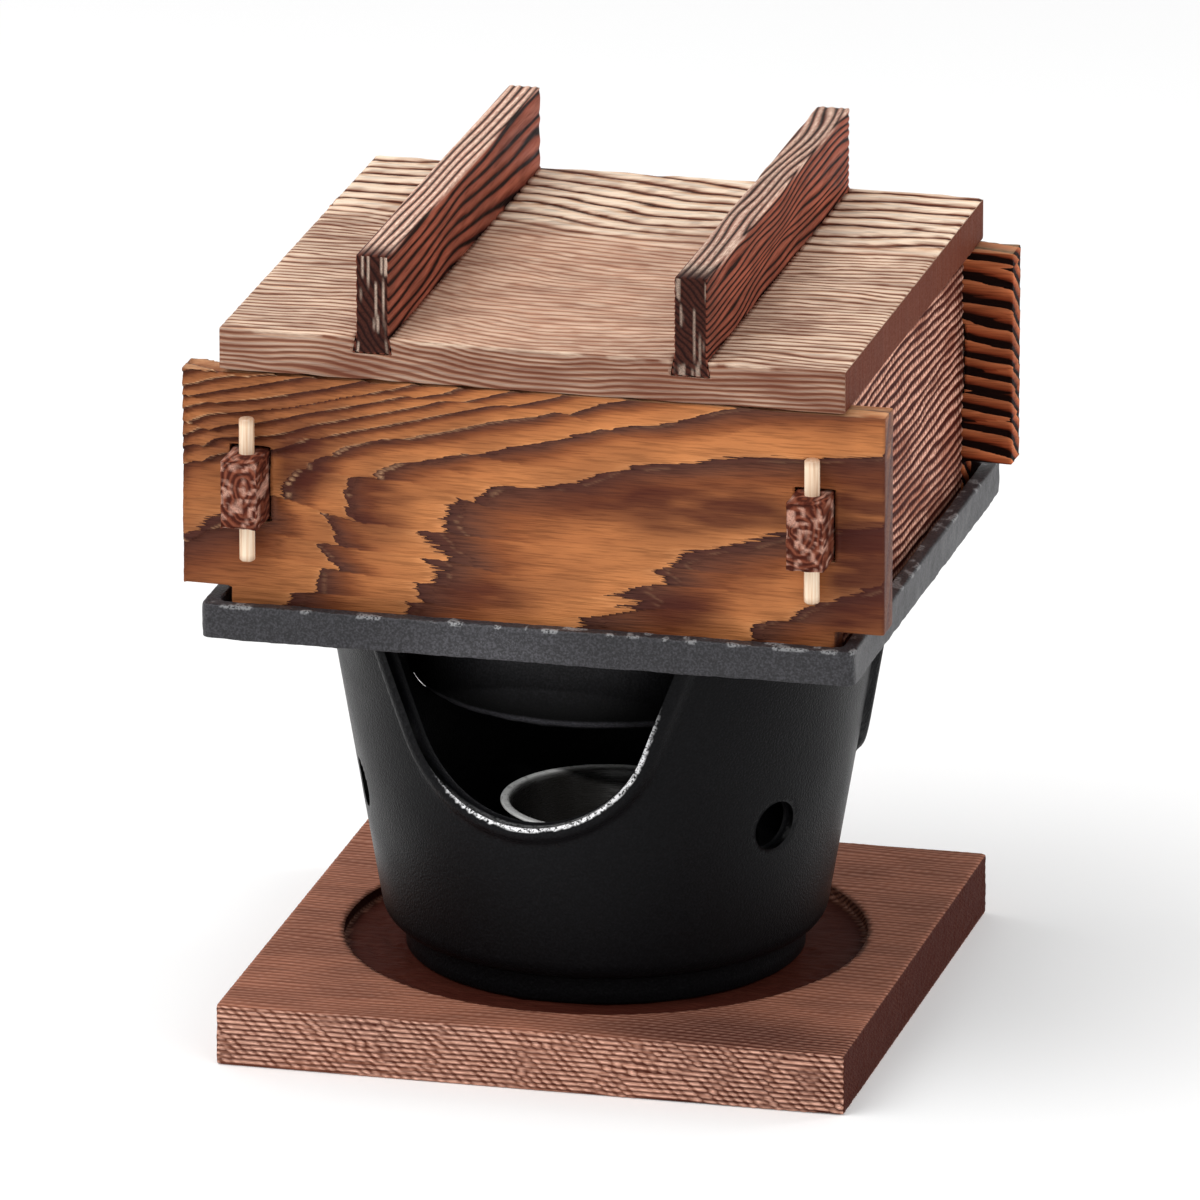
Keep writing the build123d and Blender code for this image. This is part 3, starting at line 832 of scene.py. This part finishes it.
def front_look(points, normals):
    """The front board's map of rings, charred at its far end, with a painted shadow beside the left tenon."""
    x, y, z = points.T
    depth = y - box_low[1]
    slipped = x + tongued(x, z, 11)
    crowded = np.maximum(z - 146 - 0.25 * (x + 66), 0)
    ring = front_rings(slipped, z) + depth * 0.16 - 0.16 * crowded * crowded / (crowded + 3)
    density = np.hypot(front_rings(slipped + 1, z) - front_rings(slipped, z),
                       front_rings(slipped, z + 1) - front_rings(slipped, z))
    far = smooth(63, 80, x)
    end = smooth(0.5, 0.9, np.abs(normals[:, 0]))
    char = 0.85 * far * smooth(160, 152, z) + 0.95 * spot(x, z, (78, 139), (13, 4))
    # A painted shadow of the left tenon, on the face just to its right.
    char = char + 0.6 * spot(x, z, (-55, 146), (12, 9)) * smooth(-62, -58, x)
    char = char + 0.6 * spot(x, z, (-10, 117), (17, 9)) + 0.95 * spot(x, z, (36, 143), (42, 9))
    char = char + 0.6 * spot(x, z, (-36, 136), (11, 12)) + 0.6 * spot(x, z, (36, 118), (16, 8))
    char = char + 0.35 * smooth(6, 0, x - side_outer_x) * far + 0.6 * end + 0.16 * smooth(-10, -45, x)
    char = char + 0.3 * smooth(0, -50, x) * smooth(140, 152, z)
    char = np.clip(char * (0.55 + 0.9 * noise(x / 9, 0, z / 1.6, 15)), 0, 0.9)
    part = ring - np.floor(ring)
    carved = smooth(10, -45, x) * smooth(118, 150, z) + smooth(-52, -66, x)
    lip = smooth(1 - 0.7 * density, 1, part) * (0.2 + 0.8 * carved)
    lip = lip * smooth(0.4, 0.6, noise(x / 5, 0, z / 3, 16))
    top = smooth(0.6, 0.95, normals[:, 2])
    relief = 0.05 + (0.30 + 0.55 * carved) * stepped(ring, 0.4 * density)
    relief = relief + (0.12 + 0.22 * carved) * noise(x / 9, y / 1.5, z / 0.7, 17)
    relief = relief * (1 - 0.75 * smooth(0.1, 0.6, np.abs(normals[:, 0])))
    # Pale lips on the ring steps and paler top faces: wear, and painted highlights from the light above.
    wear = np.clip(0.55 * lip + 0.65 * top * noise(x / 5, y / 1.2, 0, 18), 0, 1) * (1 - 0.6 * end)
    return relief, {"ring": ring, "bold": 1.0, "char": char, "wear": wear}


def back_look(points, normals):
    """Narrow, strongly scorched rings that lean a little and swerve round a knot."""
    x, y, z = points.T
    slip = x + tongued(x, z, 21)
    ring = (z + 0.16 * slip + 5.0 * noise(slip / 26, 0, z / 15, 24) + 9 * spot(slip, z, (12, 140), (40, 24))
            + 0.8 * (y - box_low[1])) / 4.6
    char = 0.05 + 0.25 * noise(x / 12, 0, z / 4, 25)
    relief = 0.05 + 0.5 * stepped(ring, 0.12) + 0.18 * noise(x / 9, y / 1.5, z / 0.7, 26)
    relief = relief * (1 - 0.6 * smooth(0.1, 0.6, np.abs(normals[:, 0])))
    top = smooth(0.6, 0.95, normals[:, 2])
    char = np.clip(char * (1 - top), 0, 0.9)
    return relief, {"ring": ring, "bold": 1.0, "char": char, "wear": 0.5 * top}


end_stops = [(0.0, (0.016, 0.006, 0.005)), (0.02, (0.072, 0.027, 0.020)), (0.14, (0.13, 0.047, 0.027)),
             (0.36, (0.27, 0.083, 0.029)), (0.58, (0.51, 0.180, 0.060)), (0.93, (0.58, 0.220, 0.075)),
             (1.0, (0.66, 0.27, 0.10))]
back_stops = [(0.0, (0.004, 0.002, 0.002)), (0.36, (0.010, 0.003, 0.002)), (0.5, (0.30, 0.055, 0.020)),
              (0.8, (0.62, 0.17, 0.065)), (1.0, (0.80, 0.26, 0.11))]
front_finish = cedar("ringed_front_cedar", "x", end_stops, plain=(0.34, 0.13, 0.055),
                     burnt_and_shade=(0.060, 0.012, 0.008), worn_and_glint=(0.86, 0.50, 0.27), rough=0.46, sheen=0.10)
back_finish = cedar("ringed_back_cedar", "x", back_stops, plain=(0.30, 0.11, 0.05),
                    burnt_and_shade=(0.012, 0.005, 0.004), worn_and_glint=(0.62, 0.38, 0.22), rough=0.55)
end_boards = (("front_board", front_look, front_finish), ("back_board", back_look, back_finish))
for board, look, finish in end_boards:
    box_low, box_high = box_mm(board)
    lower_low = np.array((-side_outer_x, box_low[1], box_low[2]))
    lower_high = np.array((side_outer_x, box_high[1], box_high[2]))
    ear_low = np.array((box_low[0], box_low[1], ear_under))
    end_grid = (
        lines(0.85, box_low[0], -side_outer_x, -side_inner_x, side_inner_x, side_outer_x, box_high[0]),
        lines(0.65, box_low[1], box_high[1]),
        lines(0.36, box_low[2], ear_under, tenon_low, tenon_high, box_high[2]),
    )
    end_full = inside(end_grid, lower_low, lower_high) | inside(end_grid, ear_low, box_high)
    for first, second in ((-side_outer_x, -side_inner_x), (side_inner_x, side_outer_x)):
        end_full &= ~inside(end_grid, (first, -999, tenon_low), (second, 999, tenon_high))
    wood_piece(board, "box", end_grid, end_full, [(lower_low, lower_high), (ear_low, box_high)], 0.7,
               look, finish)

# Side boards of the steaming box
# Cedar with straight, close grain, brushed into beaded ridges. Each ends in a through tenon with
# torn end grain, a little loose in its mortise and bored for a peg.
peg_low, peg_high = box_mm("peg_front_left")
peg_y = -(peg_low[1] + peg_high[1]) / 2
peg_x = -(peg_low[0] + peg_high[0]) / 2
peg_radius = (peg_high[0] - peg_low[0]) / 2
box_bottom, box_top = side_low[2], side_high[2]
inner_half_y = -box_mm("front_board")[1][1]
heart_x, heart_level = 65.5, 143.0  # middle of the loops of end grain on the tenons
side_stops = [(0.0, (0.46, 0.150, 0.080)), (0.22, (0.26, 0.065, 0.032)), (0.36, (0.030, 0.005, 0.004)),
              (0.66, (0.036, 0.006, 0.004)), (0.82, (0.24, 0.06, 0.03)), (1.0, (0.46, 0.150, 0.080))]
side_finish = cedar("ridged_side_cedar", "y", side_stops, plain=(0.25, 0.09, 0.06),
                    burnt_and_shade=(0.060, 0.011, 0.007), worn_and_glint=(1.0, 0.58, 0.44), rough=0.55)


def side_look(points, normals):
    """Level ridges with beads along them; rough loops of end grain on the tenons."""
    x, y, z = points.T
    ring = (z + 3.5 * noise(y / 45, z / 20, 0, 31) + 0.7 * noise(y / 8, z / 3, 0, 35) + 0.03 * y
            + 0.9 * np.abs(x)) / 2.3
    bead = beads(ring, y, 2.3)[1]
    tenon = smooth(inner_half_y, inner_half_y + 0.6, np.abs(y))
    end = smooth(0.5, 0.9, np.abs(normals[:, 1])) * tenon
    loops = np.hypot(np.abs(x) - heart_x, (z - heart_level) * 0.62) / 1.25
    loops = loops + 1.6 * noise(x / 2.2, y / 3, z / 2.2, 32)
    torn = noise(x / 0.9, y / 2.5, z / 0.9, 33)
    ring = np.where(tenon > 0.5, loops + 0.02 * y, ring)
    relief = 0.05 + 0.5 * (1 - bead) * (1 - tenon) + tenon * (0.22 + 0.3 * torn * (1 - end))
    relief = relief + end * (0.4 * torn + 0.45 * (0.5 + 0.5 * np.cos(2 * np.pi * loops)))
    bore = (np.hypot(np.abs(x) - peg_x, np.abs(y) - peg_y) < peg_radius + 0.2) & (np.abs(normals[:, 2]) < 0.5)
    relief = np.where(bore, 0, relief)
    groove = smooth(0.7, 0.15, bead)
    char = 0.06 + 0.5 * groove * (1 - tenon) + 0.36 * tenon + 0.3 * smooth(50, 62, y) * (1 - tenon)
    char = char + 0.3 * smooth(150, 165, z) * smooth(0, 40, y)
    glint = smooth(0.3, 0.85, bead) * (0.5 + 1.1 * smooth(0.25, 0.7, noise(y / 16, z / 6, 0, 34)))
    wear = glint * (1 - tenon) + 0.6 * tenon * smooth(0.5, 0.85, torn)
    bold = np.where(tenon > 0.5, 0.75, 1.0)
    return relief, {"ring": ring, "bold": bold, "char": np.clip(char, 0, 0.9), "wear": np.clip(wear, 0, 1)}


for side_name, side in (("left", -1), ("right", 1)):
    node = side_name + "_side_board"
    board_low, board_high = box_mm(node)
    hole = peg_radius + 0.05
    side_grid = (
        lines(0.75, board_low[0], side * peg_x - hole, side * peg_x + hole, board_high[0]),
        lines(0.85, -tenon_half_y, -peg_y - hole, -peg_y + hole, -inner_half_y, inner_half_y, peg_y - hole,
              peg_y + hole, tenon_half_y),
        lines(0.38, box_bottom, tenon_low, tenon_high, box_top),
    )
    plank_low = np.array((board_low[0], -inner_half_y, box_bottom))
    plank_high = np.array((board_high[0], inner_half_y, box_top))
    bar_low = np.array((board_low[0], -tenon_half_y, tenon_low))
    bar_high = np.array((board_high[0], tenon_half_y, tenon_high))
    side_full = inside(side_grid, plank_low, plank_high) | inside(side_grid, bar_low, bar_high)
    for end_y in (-peg_y, peg_y):
        side_full &= ~inside(side_grid, (side * peg_x - hole, end_y - hole, 0),
                             (side * peg_x + hole, end_y + hole, 999))

    def round_bore(points):
        """The square bore's corners are drawn in to the circle of the peg's hole."""
        for end_y in (-peg_y, peg_y):
            off = points[:, :2] - (side * peg_x, end_y)
            on_bore = np.abs(np.max(np.abs(off), axis=1) - hole) < 0.02
            reach = np.maximum(np.linalg.norm(off, axis=1), 0.1)
            points[on_bore, :2] = ((side * peg_x, end_y) + off * (hole / reach)[:, None])[on_bore]
        return points

    wood_piece(node, "box", side_grid, side_full, [(plank_low, plank_high), (bar_low, bar_high)], 0.6,
               side_look, side_finish, settle=round_bore)

# Pegs
# Four round pegs of bamboo, scraped to size with a knife, so that faint flats run along them. Each
# is pushed down through its tenon and pulls the end board tight.
bamboo = Finish("scraped_bamboo")
strand = bamboo.noise([1.6, 1.6, 0.05], 3.0)
shade = bamboo.ramp(strand, [(0.25, (0.50, 0.27, 0.14)), (0.42, (0.84, 0.58, 0.38)),
                             (0.62, (0.98, 0.80, 0.60))])
bamboo.set(Base_Color=bamboo.mix(bamboo.attribute("char"), shade, (0.30, 0.13, 0.06)), Roughness=0.42)
bamboo.bump(strand, 0.08)
for end_name in ("front", "back"):
    for side_name in ("left", "right"):
        node = f"peg_{end_name}_{side_name}"
        low, high = box_mm(node)
        seed = 50 + 7 * len(node) + (end_name == "front")
        bevel = 0.38
        heights = np.linspace(low[2] + bevel, high[2] - bevel, 26)
        profile = [(0, low[2]), (peg_radius - bevel, low[2])] + [(peg_radius, z) for z in heights]
        profile += [(peg_radius - bevel, high[2]), (0, high[2])]
        points, quads = lathe(profile, 32)
        x, y, z = points.T
        turn = np.arctan2(y, x)
        flats = 0.09 * (0.5 + 0.5 * np.cos(6 * turn + 0.04 * z + seed)) + 0.07 * noise(x, y, z / 9, seed)
        scale = 1 - flats / peg_radius
        centre = (low + high) / 2
        points = np.stack([x * scale + centre[0], y * scale + centre[1], z], 1)
        ends = smooth(1.4, 0, np.minimum(z - low[2], high[2] - z))
        add_piece(node + "_bamboo", node, node, points, quads, bamboo.material, char=0.55 * ends)

# Ledgers and rack
# Inside the box two battens carry a rack of nine slats, pinned with bamboo to two cross bars. They
# are of plain planed cedar that was never scorched, greyed a little by steam.


def plain_cedar(name, grain):
    """Planed cedar: bands of rings across the grain, streaked by fine fibres."""
    plain = Finish(name)
    band = plain.noise([0.02 if axis == grain else 0.5 for axis in "xyz"], 2.0)
    fibre = plain.noise([0.08 if axis == grain else 2.4 for axis in "xyz"], 3.0)
    colour = plain.ramp(band, [(0.3, (0.66, 0.45, 0.28)), (0.5, (0.56, 0.34, 0.20)),
                               (0.56, (0.42, 0.22, 0.12)), (0.62, (0.62, 0.41, 0.25))])
    plain.set(Base_Color=plain.mix(plain.ranged(fibre, 0.4, 0.75, 0.0, 0.4), colour, (0.36, 0.2, 0.11)))
    plain.set(Roughness=plain.ranged(fibre, 0.3, 0.7, 0.55, 0.7))
    plain.bump(fibre, 0.08)
    return plain.material


lengthwise = plain_cedar("plain_cedar_lengthwise", "y")
crosswise = plain_cedar("plain_cedar_crosswise", "x")
inner_finishes = {"ledger_left": lengthwise, "ledger_right": lengthwise, "rack_bearer_front": crosswise,
                  "rack_bearer_back": crosswise, "rack_pins": bamboo.material}
inner_finishes.update({name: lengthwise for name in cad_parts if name.startswith("rack_slat")})
for name, finish in inner_finishes.items():
    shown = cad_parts[name]
    shown.data.materials.clear()
    shown.data.materials.append(finish)

# Lid panel
# One cedar board laid on the box, scorched, brushed and rubbed pale on top. Two dovetailed grooves
# run from front to back for the cleats.
lid_low, lid_high = box_mm("lid_panel")
cleat_low, cleat_high = box_mm("lid_cleat_right")
cleat_x = (cleat_low[0] + cleat_high[0]) / 2
cleat_half, foot_half = 4.0, (cleat_high[0] - cleat_low[0]) / 2
groove_floor = cleat_low[2]


def lid_rings(x, y, z):
    """Rings that run across the lid: wide apart at the back, close and wavy towards the front."""
    lean_x = x + 18 * smooth(60, -60, y)
    drift = -11 * smooth(-38, 16, lean_x) + 5 * smooth(22, 74, lean_x)
    drift = drift + 5.0 * (noise(x / 24, y / 11, z / 6, 61) - 0.5)
    drift = drift + 1.8 * (noise(x / 7, y / 3.5, z / 3, 62) - 0.5)
    along = y - drift + 1.9 * (z - lid_high[2])
    part = np.clip((along - 16) / 16, 0, 1)
    spread = 16 * (part ** 3 - part ** 4 / 2) + np.maximum(along - 32, 0)
    return along / 2.7 - spread * (1 / 2.7 - 1 / 7.0)


def lid_look(points, normals):
    """Bold cream and brown stripes at the back, fading to fine tan grain at the front."""
    x, y, z = points.T
    ring = lid_rings(x, y, z)
    top = smooth(0.5, 0.9, normals[:, 2])
    end = smooth(0.5, 0.9, np.abs(normals[:, 0]))
    ripple = noise(x / 3.2, y / 1.1, 0, 63)
    back = smooth(12, 34, y + 10 * (noise(x / 12, y / 8, 0, 64) - 0.5))
    sides = smooth(14, 56, np.abs(x + 6 + 6 * (noise(x / 20, y / 9, 0, 66) - 0.5)))
    bold = np.where(top > 0.5, 0.34 + 0.66 * np.maximum(back, 0.6 * sides), 0.62)
    part = ring - np.floor(ring)
    groove = smooth(0.24, 0.0, np.abs(part - 0.5) - 0.02)
    relief = 0.05 + (0.14 + 0.2 * back) * groove * (1 - end) + 0.14 * ripple
    char = 0.08 + 0.50 * (1 - top) + 0.85 * end + 0.25 * smooth(3, 0, np.abs(np.abs(x) - cleat_x) - 3) * top
    char = char * (0.6 + 0.8 * noise(x / 14, y / 6, z / 2, 65)) + 0.45 * end
    streak = smooth(0.5, 0.8, noise(x / 11, y / 1.7, z / 3, 67))
    char = char + 0.45 * streak * top * (1 - back) * (0.2 + 0.8 * sides) + 0.02 * (1 - top) * (1 - end)
    # The right end takes the ring colours' darkest band: painted shade on the end turned from the light, over
    # its char.
    ring = np.where(normals[:, 0] > 0.5, 0.5 + 0.08 * ripple, ring)
    bold = np.where(normals[:, 0] > 0.5, 0.75, bold)
    pale = top * (0.30 + 0.55 * back) * smooth(0.3, 0.65, ripple) * (1 - groove) * (1 - 0.5 * streak)
    # A pale strip along the top edge of the lid's sides is a painted highlight.
    pale = pale + 0.7 * (1 - top) * (1 - end) * smooth(1.6, 0.3, lid_high[2] - z) * smooth(0.3, 0.7, ripple)
    return relief, {"ring": ring, "bold": bold, "char": np.clip(char, 0, 0.92), "wear": pale}


lid_stops = [(0.0, (1.0, 0.88, 0.72)), (0.24, (0.80, 0.50, 0.31)), (0.36, (0.12, 0.030, 0.016)),
             (0.58, (0.014, 0.005, 0.004)), (0.66, (0.20, 0.065, 0.035)), (0.76, (0.84, 0.60, 0.44)),
             (1.0, (1.0, 0.88, 0.72))]
lid_finish = cedar("rubbed_lid_cedar", "x", lid_stops, plain=(0.60, 0.315, 0.205),
                   burnt_and_shade=(0.115, 0.028, 0.015), worn_and_glint=(1.0, 0.79, 0.60), rough=0.55)
lid_grid = (
    lines(1.25, lid_low[0], -cleat_x - cleat_half, -cleat_x + cleat_half, cleat_x - cleat_half,
          cleat_x + cleat_half, lid_high[0]),
    lines(0.46, lid_low[1], lid_high[1]),
    lines(0.5, lid_low[2], groove_floor, lid_high[2]),
)
lid_full = inside(lid_grid, lid_low, lid_high)
for middle in (-cleat_x, cleat_x):
    lid_full &= ~inside(lid_grid, (middle - cleat_half, -999, groove_floor), (middle + cleat_half, 999, 999))


def dovetail(points):
    """The grooves' walls lean outwards below the surface, as far as the cleat's foot is wider."""
    for middle in (-cleat_x, cleat_x):
        off = points[:, 0] - middle
        on_wall = (np.abs(np.abs(off) - cleat_half) < 0.02) & (points[:, 2] > groove_floor - 0.01)
        sunk = (lid_high[2] - points[:, 2]) / (lid_high[2] - groove_floor)
        points[:, 0] += np.where(on_wall, np.sign(off) * (foot_half - cleat_half) * sunk, 0)
    return points


wood_piece("lid_panel", "lid", lid_grid, lid_full, [(lid_low, lid_high)], 0.8, lid_look, lid_finish,
           settle=dovetail)

# Cleats
# Two upright battens slid into the lid's grooves. They keep the lid flat and are its grips. Their
# front ends are charred black, and handling has rubbed their tops.
cleat_stops = [(0.0, (0.50, 0.150, 0.090)), (0.34, (0.36, 0.090, 0.052)), (0.44, (0.012, 0.004, 0.003)),
              (0.60, (0.014, 0.004, 0.003)), (0.70, (0.22, 0.050, 0.030)), (1.0, (0.50, 0.150, 0.090))]
cleat_finish = cedar("streaked_cleat_cedar", "y", cleat_stops, plain=(0.20, 0.055, 0.034),
                     burnt_and_shade=(0.020, 0.009, 0.008), worn_and_glint=(1.0, 0.76, 0.60), rough=0.5)
for side_name, side, seed, pitch in (("left", -1, 71, 3.0), ("right", 1, 81, 2.0)):
    node = "lid_cleat_" + side_name
    low, high = box_mm(node)
    middle = side * cleat_x
    cleat_grid = (
        lines(0.45, middle - cleat_half, middle + cleat_half),
        lines(0.9, low[1], high[1]),
        lines(0.38, low[2], lid_high[2], high[2]),
    )

    def widen_foot(points):
        """Below the lid's surface the cleat spreads evenly to its wider foot."""
        sunk = np.clip((lid_high[2] - points[:, 2]) / (lid_high[2] - low[2]), 0, 1)
        off = points[:, 0] - middle
        points[:, 0] = middle + off * (1 + sunk * (foot_half - cleat_half) / cleat_half)
        return points

    def cleat_look(points, normals):
        """Lines that flow along the cleat, dotted on its top, with rubbed tops, a painted highlight along
        each side's top edge, and charred ends.
        """
        x, y, z = points.T
        top = smooth(0.5, 0.9, normals[:, 2])
        end = smooth(0.5, 0.9, np.abs(normals[:, 1]))
        sway = 6.0 * noise(y / 48, z / 14, 0, seed) + 2.2 * noise(y / 22, z / 3.5, x / 3, seed + 1)
        swell = 1.5 * smooth(-20, 50, y) * (side < 0)
        ring = (z - high[2]) / (pitch + swell) + (x - middle) / 1.9 + sway / pitch
        ridge, bead = beads(ring, y, 2.4)
        burnt_end = smooth(-56, -70, y) * (0.35 + 0.65 * top) * (0.75 + 0.25 * (side > 0))
        char = 0.08 + (0.66 + 0.3 * ridge) * end + burnt_end + (0.35 if side > 0 else 0.0) * top
        # A pale strip at the top of each side is a painted highlight; the paler top is rubbed wear.
        edge = 0.9 * smooth(1.3, 0.3, high[2] - z) * (1 - top) + top * (1.0 if side < 0 else 0.7)
        wear = edge * (0.35 * bead + 0.75 * ridge ** 1.5) * smooth(-72, -60, y) * (1 - end)
        wear = wear + (0.5 - 0.12 * side) * end * smooth(0.68, 0.82, noise(x / 0.6, z / 7, 0, seed + 3))
        relief = 0.05 + 0.26 * (1 - ridge) * (1 - end) + end * 0.35 * noise(x / 0.7, z / 2.5, 0, seed + 2)
        char, wear = np.clip(char, 0, 0.95), np.clip(wear, 0, 1)
        return relief, {"ring": ring, "bold": 1.0, "char": char, "wear": wear}

    wood_piece(node, "lid", cleat_grid, inside(cleat_grid, low - 1, high + 1),
               [((middle - cleat_half, low[1], low[2] - 9), (middle + cleat_half, high[1], high[2]))], 0.5,
               cleat_look, cleat_finish, settle=widen_foot)

# Studio
# The set stands on a plain pale floor under soft lights: a large one above to the left, a weak one
# from the right, two tall strips behind that draw the stove's edges, and a narrow spot that looks
# under the pan at the dish.
floor_half = 6.0
corners = [(-floor_half, -floor_half, 0), (floor_half, -floor_half, 0), (floor_half, floor_half, 0),
           (-floor_half, floor_half, 0)]
floor_mesh = bpy.data.meshes.new("studio_floor")
floor_mesh.from_pydata(corners, [], [(0, 1, 2, 3)])
floor_paint = Finish("pale_floor")
floor_tone = floor_paint.noise([0.002] * 3, 1.0)
floor_paint.set(Base_Color=floor_paint.mix(floor_tone, (0.86, 0.86, 0.86), (0.89, 0.89, 0.89)), Roughness=0.8)
floor_paint.set(Emission_Color=(1.0, 1.0, 1.0), Emission_Strength=0.10)
floor_mesh.materials.append(floor_paint.material)
in_scene("studio_floor", floor_mesh)

world = bpy.data.worlds.new("studio_air")
world.use_nodes = True
world.node_tree.nodes["Background"].inputs["Color"].default_value = (1.0, 1.0, 1.0, 1.0)
world.node_tree.nodes["Background"].inputs["Strength"].default_value = 0.70
bpy.context.scene.world = world


def look_at(shown, place, target):
    """Puts a lamp or camera at a place, looking along the straight line to the target."""
    shown.location = place
    shown.rotation_euler = (Vector(target) - Vector(place)).to_track_quat("-Z", "Y").to_euler()


set_middle = (0, 0, 0.09)
for name, place, size, watts in (
    ("key_light", (-0.65, -0.55, 1.35), (1.3, 1.3), 15.0),
    ("fill_light", (0.9, -1.1, 0.7), (0.7, 0.7), 2.5),
    ("left_strip", (-0.9, 0.45, 0.35), (0.25, 0.8), 1.2),
    ("right_strip", (0.9, 0.55, 0.35), (0.25, 0.8), 3.0),
):
    lamp = bpy.data.lights.new(name, "AREA")
    lamp.shape = "RECTANGLE"
    lamp.size, lamp.size_y = size
    lamp.energy = watts
    look_at(in_scene(name, lamp), place, set_middle)

snoot = bpy.data.lights.new("arch_spot", "SPOT")
snoot.energy, snoot.spot_size, snoot.spot_blend, snoot.shadow_soft_size = 22.0, np.radians(3.8), 0.6, 0.01
look_at(in_scene("arch_spot", snoot), (-0.05, -0.80, 0.50), (-0.004, 0, 0.044))

turn, rise = np.radians(13.85), np.radians(17.88)
distance, aim_level, sideways = 4.1559, 0.0959, -0.0014
right = Vector((np.cos(turn), np.sin(turn), 0))
back = Vector((np.sin(turn) * np.cos(rise), -np.cos(turn) * np.cos(rise), np.sin(rise)))
lens = bpy.data.cameras.new("studio_camera")
lens.lens, lens.sensor_width = 533.2, 36.0
lens.clip_end = 50.0
camera = in_scene("studio_camera", lens)
camera.location = Vector((0, 0, aim_level)) + right * sideways + back * distance
camera.rotation_euler = (-back).to_track_quat("-Z", "Y").to_euler()
bpy.context.scene.camera = camera
bpy.context.scene.view_settings.view_transform = "Standard"
